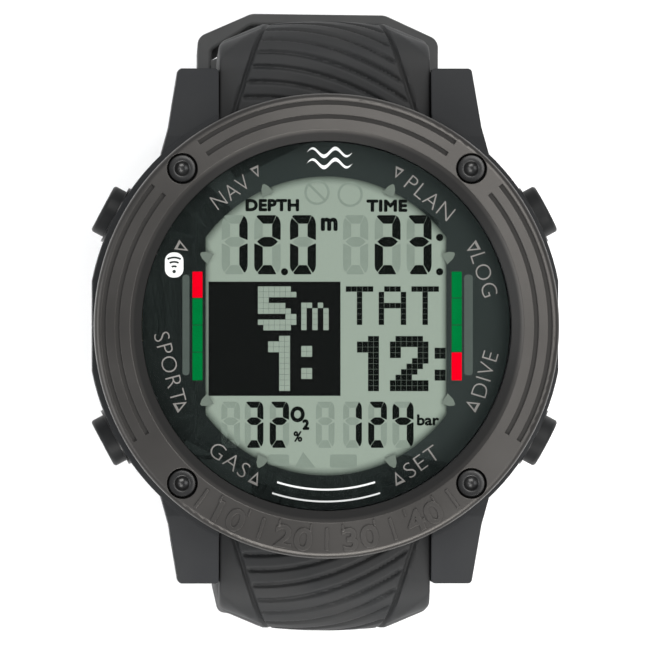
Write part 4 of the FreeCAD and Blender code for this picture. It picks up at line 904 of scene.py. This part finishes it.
def strapRows(strap, route):
    # shares of the flat top from its hollowed end, then distances along the outer face
    fineEnd = strapCommon["panelEnd"] + strapGrid["finePast"]
    rows = [("top", i / strapGrid["topRows"]) for i in range(strapGrid["topRows"])]
    s = strapCommon["shoulder"][0]
    while s < fineEnd:
        rows.append(("run", s))
        s += strapGrid["fineStep"]
    stops = set()
    if "turn" in strap:
        long, short, tip = strap["hole"][1], strapGrid["holeRow"], strap["tipRound"]
        for i in range(strap["holes"]):
            middle = route["end"] - strap["holeInset"] - i * strap["holePitch"]
            stops |= {round(middle + d, 4) for d in (-long, -short, short, long)}
        turns = range(0, 91, strapGrid["turnStep"])
        stops |= {route["end"] - tip + tip * math.sin(math.radians(a)) for a in turns}
    else:
        stops |= {route["pin"] - strap["notch"][1], route["pin"]}
        turns = range(strapGrid["eyeStart"], 91, strapGrid["turnStep"])
        stops |= {route["pin"] + strap["eye"] * math.sin(math.radians(a)) for a in turns}
    stops = sorted(stops | {route["end"]})
    last = s
    while last < route["end"] - strapGrid["leastStep"] / 5:
        ahead = [v for v in stops if v > last + strapGrid["leastStep"]] or [route["end"]]
        step = min(last + strapGrid["coarseStep"], ahead[0])
        rows.append(("run", step))
        last = step
    return rows


def halfThick(strap, route, s):
    # half the thickness, which swells to the eye round the buckle pin and ends there
    half = strap["thickness"] / 2
    if "turn" in strap:
        return half
    t = s - route["pin"]
    bulge = math.sqrt(max(0.0, strap["eye"] ** 2 - t * t)) if abs(t) <= strap["eye"] else 0.0
    return max(half, bulge) if t < 0 else bulge


def strapPoint(strap, route, row, column, inner):
    kind, amount = row
    c = strapCommon["panelColumn"]
    half = strapCommon["width"] / 2
    cy, cz, r = strapCommon["shoulder"]
    x = column
    s = amount
    if kind == "top":
        front = math.sqrt(strapCommon["hollow"] ** 2 - column ** 2)
        s = front + (cy - front) * amount
    panel = panelHalf(s)
    ease = share(s, strapCommon["panelEnd"], strapCommon["panelEase"])
    panel = panel * (1 - ease) + c * ease
    if abs(column) <= c:
        x = column * panel / c
    else:
        x = math.copysign(panel + (abs(column) - c) * (half - panel) / (half - c), column)
    if kind == "top":
        front = math.sqrt(strapCommon["hollow"] ** 2 - x ** 2)
        s = front + (cy - front) * amount
    (y, z), (ny, nz) = route["point"](s)
    thick = halfThick(strap, route, s)
    fullness = min(1.0, thick / strapCommon["roundFrom"])
    knee = route["arcEnd"] + strapCommon["knee"]
    if not inner:
        tight, loose, grow, run = strapCommon["edgeRound"]
        edge = tight + (loose - tight) * share(s, grow, run)
        drop = outerDrop(x, s) - crown(x, s) + edgeDrop(x, half, edge) * fullness
        lift = thick - strap["thickness"] / 2 - drop
        y, z = y + ny * lift, z + nz * lift
    elif s >= knee:
        deep = strap["thickness"] / 2 + thick - edgeDrop(x, half, strapCommon["innerRound"]) * fullness
        y, z = y - ny * deep, z - nz * deep
    else:
        (ky, kz), (kny, knz) = route["point"](knee)
        kneeY, kneeZ = ky - kny * strap["thickness"], kz - knz * strap["thickness"]
        lean = math.radians(strap["lean"])
        front = math.sqrt(strapCommon["hollow"] ** 2 - x ** 2)
        high = strapCommon["underside"] - kneeZ
        crookY = kneeY + high * math.tan(lean)
        flat = crookY - front
        along = (s - front) / (knee - front) * (flat + high)
        down = max(0.0, along - flat)
        y = min(front + along, crookY) - down * math.tan(lean)
        z = strapCommon["underside"] + edgeDrop(x, half, strapCommon["innerRound"]) - down
    if "turn" in strap and s > route["end"] - strap["tipRound"]:
        past = s - (route["end"] - strap["tipRound"])
        wide = half - strap["tipRound"] + math.sqrt(max(0.0, strap["tipRound"] ** 2 - past ** 2))
        x *= wide / half
    return Vector((x, y * strap["side"], z)) * mm


def strapMesh(strap):
    route = strapRoute(strap)
    columns = strapColumns()
    rows = strapRows(strap, route)
    bm = bmesh.new()
    bmesh.ops.create_grid(bm, x_segments=len(columns) - 1, y_segments=len(rows) - 1, size=1.0)
    bm.verts.ensure_lookup_table()
    cells = {}
    for vert in bm.verts:
        i = round((vert.co.x + 1) / 2 * (len(columns) - 1))
        j = round((vert.co.y + 1) / 2 * (len(rows) - 1))
        cells[vert] = (i, j)
    gone = []
    for face in bm.faces:
        x = sum(columns[cells[v][0]] for v in face.verts) / 4
        kinds = {rows[cells[v][1]][0] for v in face.verts}
        s = sum(rows[cells[v][1]][1] for v in face.verts) / 4
        if kinds != {"run"}:
            continue
        if "turn" in strap:
            for n in range(strap["holes"]):
                middle = route["end"] - strap["holeInset"] - n * strap["holePitch"]
                if abs(x) < strap["hole"][0] and abs(s - middle) < strap["hole"][1]:
                    gone.append(face)
        elif abs(x) < strap["notch"][0] + 0.05 and s > route["pin"] - strap["notch"][1]:
            gone.append(face)
    bmesh.ops.delete(bm, geom=gone, context="FACES")
    for vert in bm.verts:
        vert.co = (cells[vert][0], cells[vert][1], 0)
    grown = bmesh.ops.extrude_face_region(bm, geom=bm.faces[:])
    for part in grown["geom"]:
        if isinstance(part, bmesh.types.BMVert):
            part.co.z = -1
    for vert in bm.verts:
        i, j, inner = round(vert.co.x), round(vert.co.y), vert.co.z < -0.5
        vert.co = strapPoint(strap, route, rows[j], columns[i], inner)
    bmesh.ops.remove_doubles(bm, verts=bm.verts[:], dist=strapGrid["weld"] * mm)
    eyeY, eyeZ, eyeR = strapCommon["eye"]
    turn = at(y=strap["side"] * eyeY, z=eyeZ) @ Matrix.Rotation(math.pi / 2, 4, "Y")
    barrel = bmesh.ops.create_cone(bm, cap_ends=True, segments=64, radius1=eyeR * mm, radius2=eyeR * mm,
                                   depth=strapCommon["width"] * mm, matrix=turn)
    edges = {e for v in barrel["verts"] for e in v.link_edges}
    rims = [e for e in edges if any(len(f.verts) > 4 for f in e.link_faces)]
    bmesh.ops.bevel(bm, geom=rims, offset=strapCommon["eyeRound"] * mm, segments=3, profile=0.5,
                    affect="EDGES", material=-1)
    bmesh.ops.recalc_face_normals(bm, faces=bm.faces[:])
    mesh = bpy.data.meshes.new("strap")
    bm.to_mesh(mesh)
    bm.free()
    return mesh


for strap, node in ((strapUpper, "strap_upper"), (strapLower, "strap_lower")):
    skin = finishPiece(node + "_skin", strapMesh(strap), "strap_elastomer", strap["body"], 50)
    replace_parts(skin, node)
    print(node, "made,", len(skin.data.polygons), "faces")

# keepers

keeper = {
    "width": 27.8,
    "height": 6.0,
    "wall": 1.4,
    "room": 3.6,
    "bevel": (6.2, 2.85),
    "shoulder": 0.55,
    "outerRounds": (1, 1.4, 2),  # at the back, beside the bevel and on top of it
    "innerRounds": (0.3, 0.5, 1.5),
    "gap": 0.3,
    # node, distance down the leg, shift aside, twist, body
    "edge": 0.35,
    "stations": (("keeper_free", 18.4, -0.2, 0.7, "loop"), ("keeper_fixed", 33.0, 0.0, 0.0, "upper_strap")),
}


def softened(corners, steps=4):
    # corners as (x, y, radius), rounded
    loop = []
    for i, (x, y, r) in enumerate(corners):
        here = Vector((x, y))
        back = (Vector(corners[i - 1][:2]) - here).normalized()
        ahead = (Vector(corners[(i + 1) % len(corners)][:2]) - here).normalized()
        angle = back.angle(ahead) / 2
        reach = r / math.tan(angle)
        middle = here + (back + ahead).normalized() * (r / math.sin(angle))
        first, last = here + back * reach - middle, here + ahead * reach - middle
        for n in range(steps + 1):
            spoke = first.lerp(last, n / steps).normalized() * r
            loop.append(tuple(middle + spoke))
    return loop


def keeperOutline(half, low, side, top, rounds, steps):
    # closed ring outline, flat on top between the two bevels
    foot, knee, brow = rounds
    return softened([(-half, low, foot), (half, low, foot), (half, side, knee), (bevelStart, top, brow),
                     (-bevelStart, top, brow), (-half, side, knee)], steps)


rim, bore = keeper["width"] / 2, strapCommon["width"] / 2 + keeper["gap"]
back, bevelStart = -strapUpper["thickness"] - keeper["gap"], rim - keeper["bevel"][0]
top = keeper["room"] + keeper["wall"]
outside = keeperOutline(rim, back - keeper["wall"], top - keeper["bevel"][1], top, keeper["outerRounds"], 6)
inside = keeperOutline(bore, back, keeper["shoulder"], keeper["room"], keeper["innerRounds"], 4)
lean = math.radians(strapUpper["lean"])
shoulderY, shoulderZ, shoulderR = strapCommon["shoulder"]
for name, station, aside, twist, rider in keeper["stations"]:
    mesh = outlineMesh([outside, inside], keeper["height"], keeper["edge"])
    y = shoulderY + shoulderR * math.cos(lean) - station * math.sin(lean)
    z = shoulderZ - shoulderR * math.sin(lean) - station * math.cos(lean)
    outward = Vector((0, math.cos(lean), -math.sin(lean)))
    upward = Vector((0, math.sin(lean), math.cos(lean)))
    place = Matrix((Vector((-1, 0, 0)), outward, upward)).transposed().to_4x4()
    place.translation = Vector((aside, y, z)) * mm
    mesh.transform(place @ Matrix.Rotation(math.radians(twist), 4, "Z"))
    piece = finishPiece(name + "_loop", mesh, "keeper_elastomer", rider, 40)
    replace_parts(piece, name)
print("keepers made")

# floor, light and camera

ground = dict(under=0.02, half=1.5, cells=24, dark=(0.96, 0.96, 0.96), light=(0.98, 0.98, 0.98), patch=300,
              rough=0.8)
floorPlace = Matrix.Translation((0, 0, cadBox[0][2] - ground["under"] * mm))
bm = bmesh.new()
bmesh.ops.create_grid(bm, x_segments=ground["cells"], y_segments=ground["cells"], size=ground["half"],
                      matrix=floorPlace)
floorMesh = bpy.data.meshes.new("floor")
bm.to_mesh(floorMesh)
bm.free()
floor = bpy.data.objects.new("floor", floorMesh)
bpy.context.collection.objects.link(floor)
floorFinish, tree, shader = startFinish("pale_floor")
pale = blendColour(tree, cloud(tree, ground["patch"]), ground["dark"], ground["light"])
tree.links.new(pale, shader.inputs["Base Color"])
fill(shader, {"Roughness": ground["rough"]})
floorMesh.materials.append(floorFinish)

studio = {
    # name: place, width, depth, power, colour
    "key": ((0.17, 0.34, 0.66), 0.44, 0.44, 2.9, (1.0, 0.99, 0.97)),
    "side": ((0.37, -0.02, 0.66), 0.28, 0.4, 1.1, (1.0, 0.99, 0.97)),
    "fill": ((-0.6, -0.1, 0.45), 0.5, 0.5, 2.0, (0.98, 0.99, 1.0)),
    "front": ((0.05, -0.26, 0.26), 0.28, 0.18, 1.05, (1.0, 0.985, 0.96)),
}
for name, (spot, width, depth, power, colour) in studio.items():
    lamp = bpy.data.lights.new(name, "AREA")
    lamp.shape = "RECTANGLE"
    lamp.size, lamp.size_y = width, depth
    lamp.energy = power
    lamp.color = colour
    holder = bpy.data.objects.new(name, lamp)
    holder.location = spot
    holder.rotation_euler = (Vector((0, 0, 0)) - Vector(spot)).to_track_quat("-Z", "Y").to_euler()
    bpy.context.collection.objects.link(holder)
surround = dict(colour=(0.95, 0.97, 1.0, 1), strength=0.56)
world = bpy.data.worlds.new("studio")
world.use_nodes = True
fill(world.node_tree.nodes["Background"], {"Color": surround["colour"], "Strength": surround["strength"]})
bpy.context.scene.world = world
bpy.context.scene.view_settings.view_transform = "Standard"

view = {
    "lean": 1.6,  # degrees the camera stands towards the 9 o'clock side
    "aim": (0.11, 0.11, 5.0),
    "wide": 74.24,  # mm across the frame at the aim
    "lens": 800,
    "clip": (0.2, 4),  # shares of the distance
}
camera = bpy.data.cameras.new("camera")
camera.lens = view["lens"]
distance = view["wide"] * mm * view["lens"] / camera.sensor_width
camera.clip_start = distance * view["clip"][0]
camera.clip_end = distance * view["clip"][1]
eye = bpy.data.objects.new("camera", camera)
lean = math.radians(view["lean"])
eye.location = Vector(view["aim"]) * mm + Vector((-math.sin(lean), 0, math.cos(lean))) * distance
eye.rotation_euler = (0, -lean, 0)
bpy.context.collection.objects.link(eye)
bpy.context.scene.camera = eye
print("floor, light and camera set")
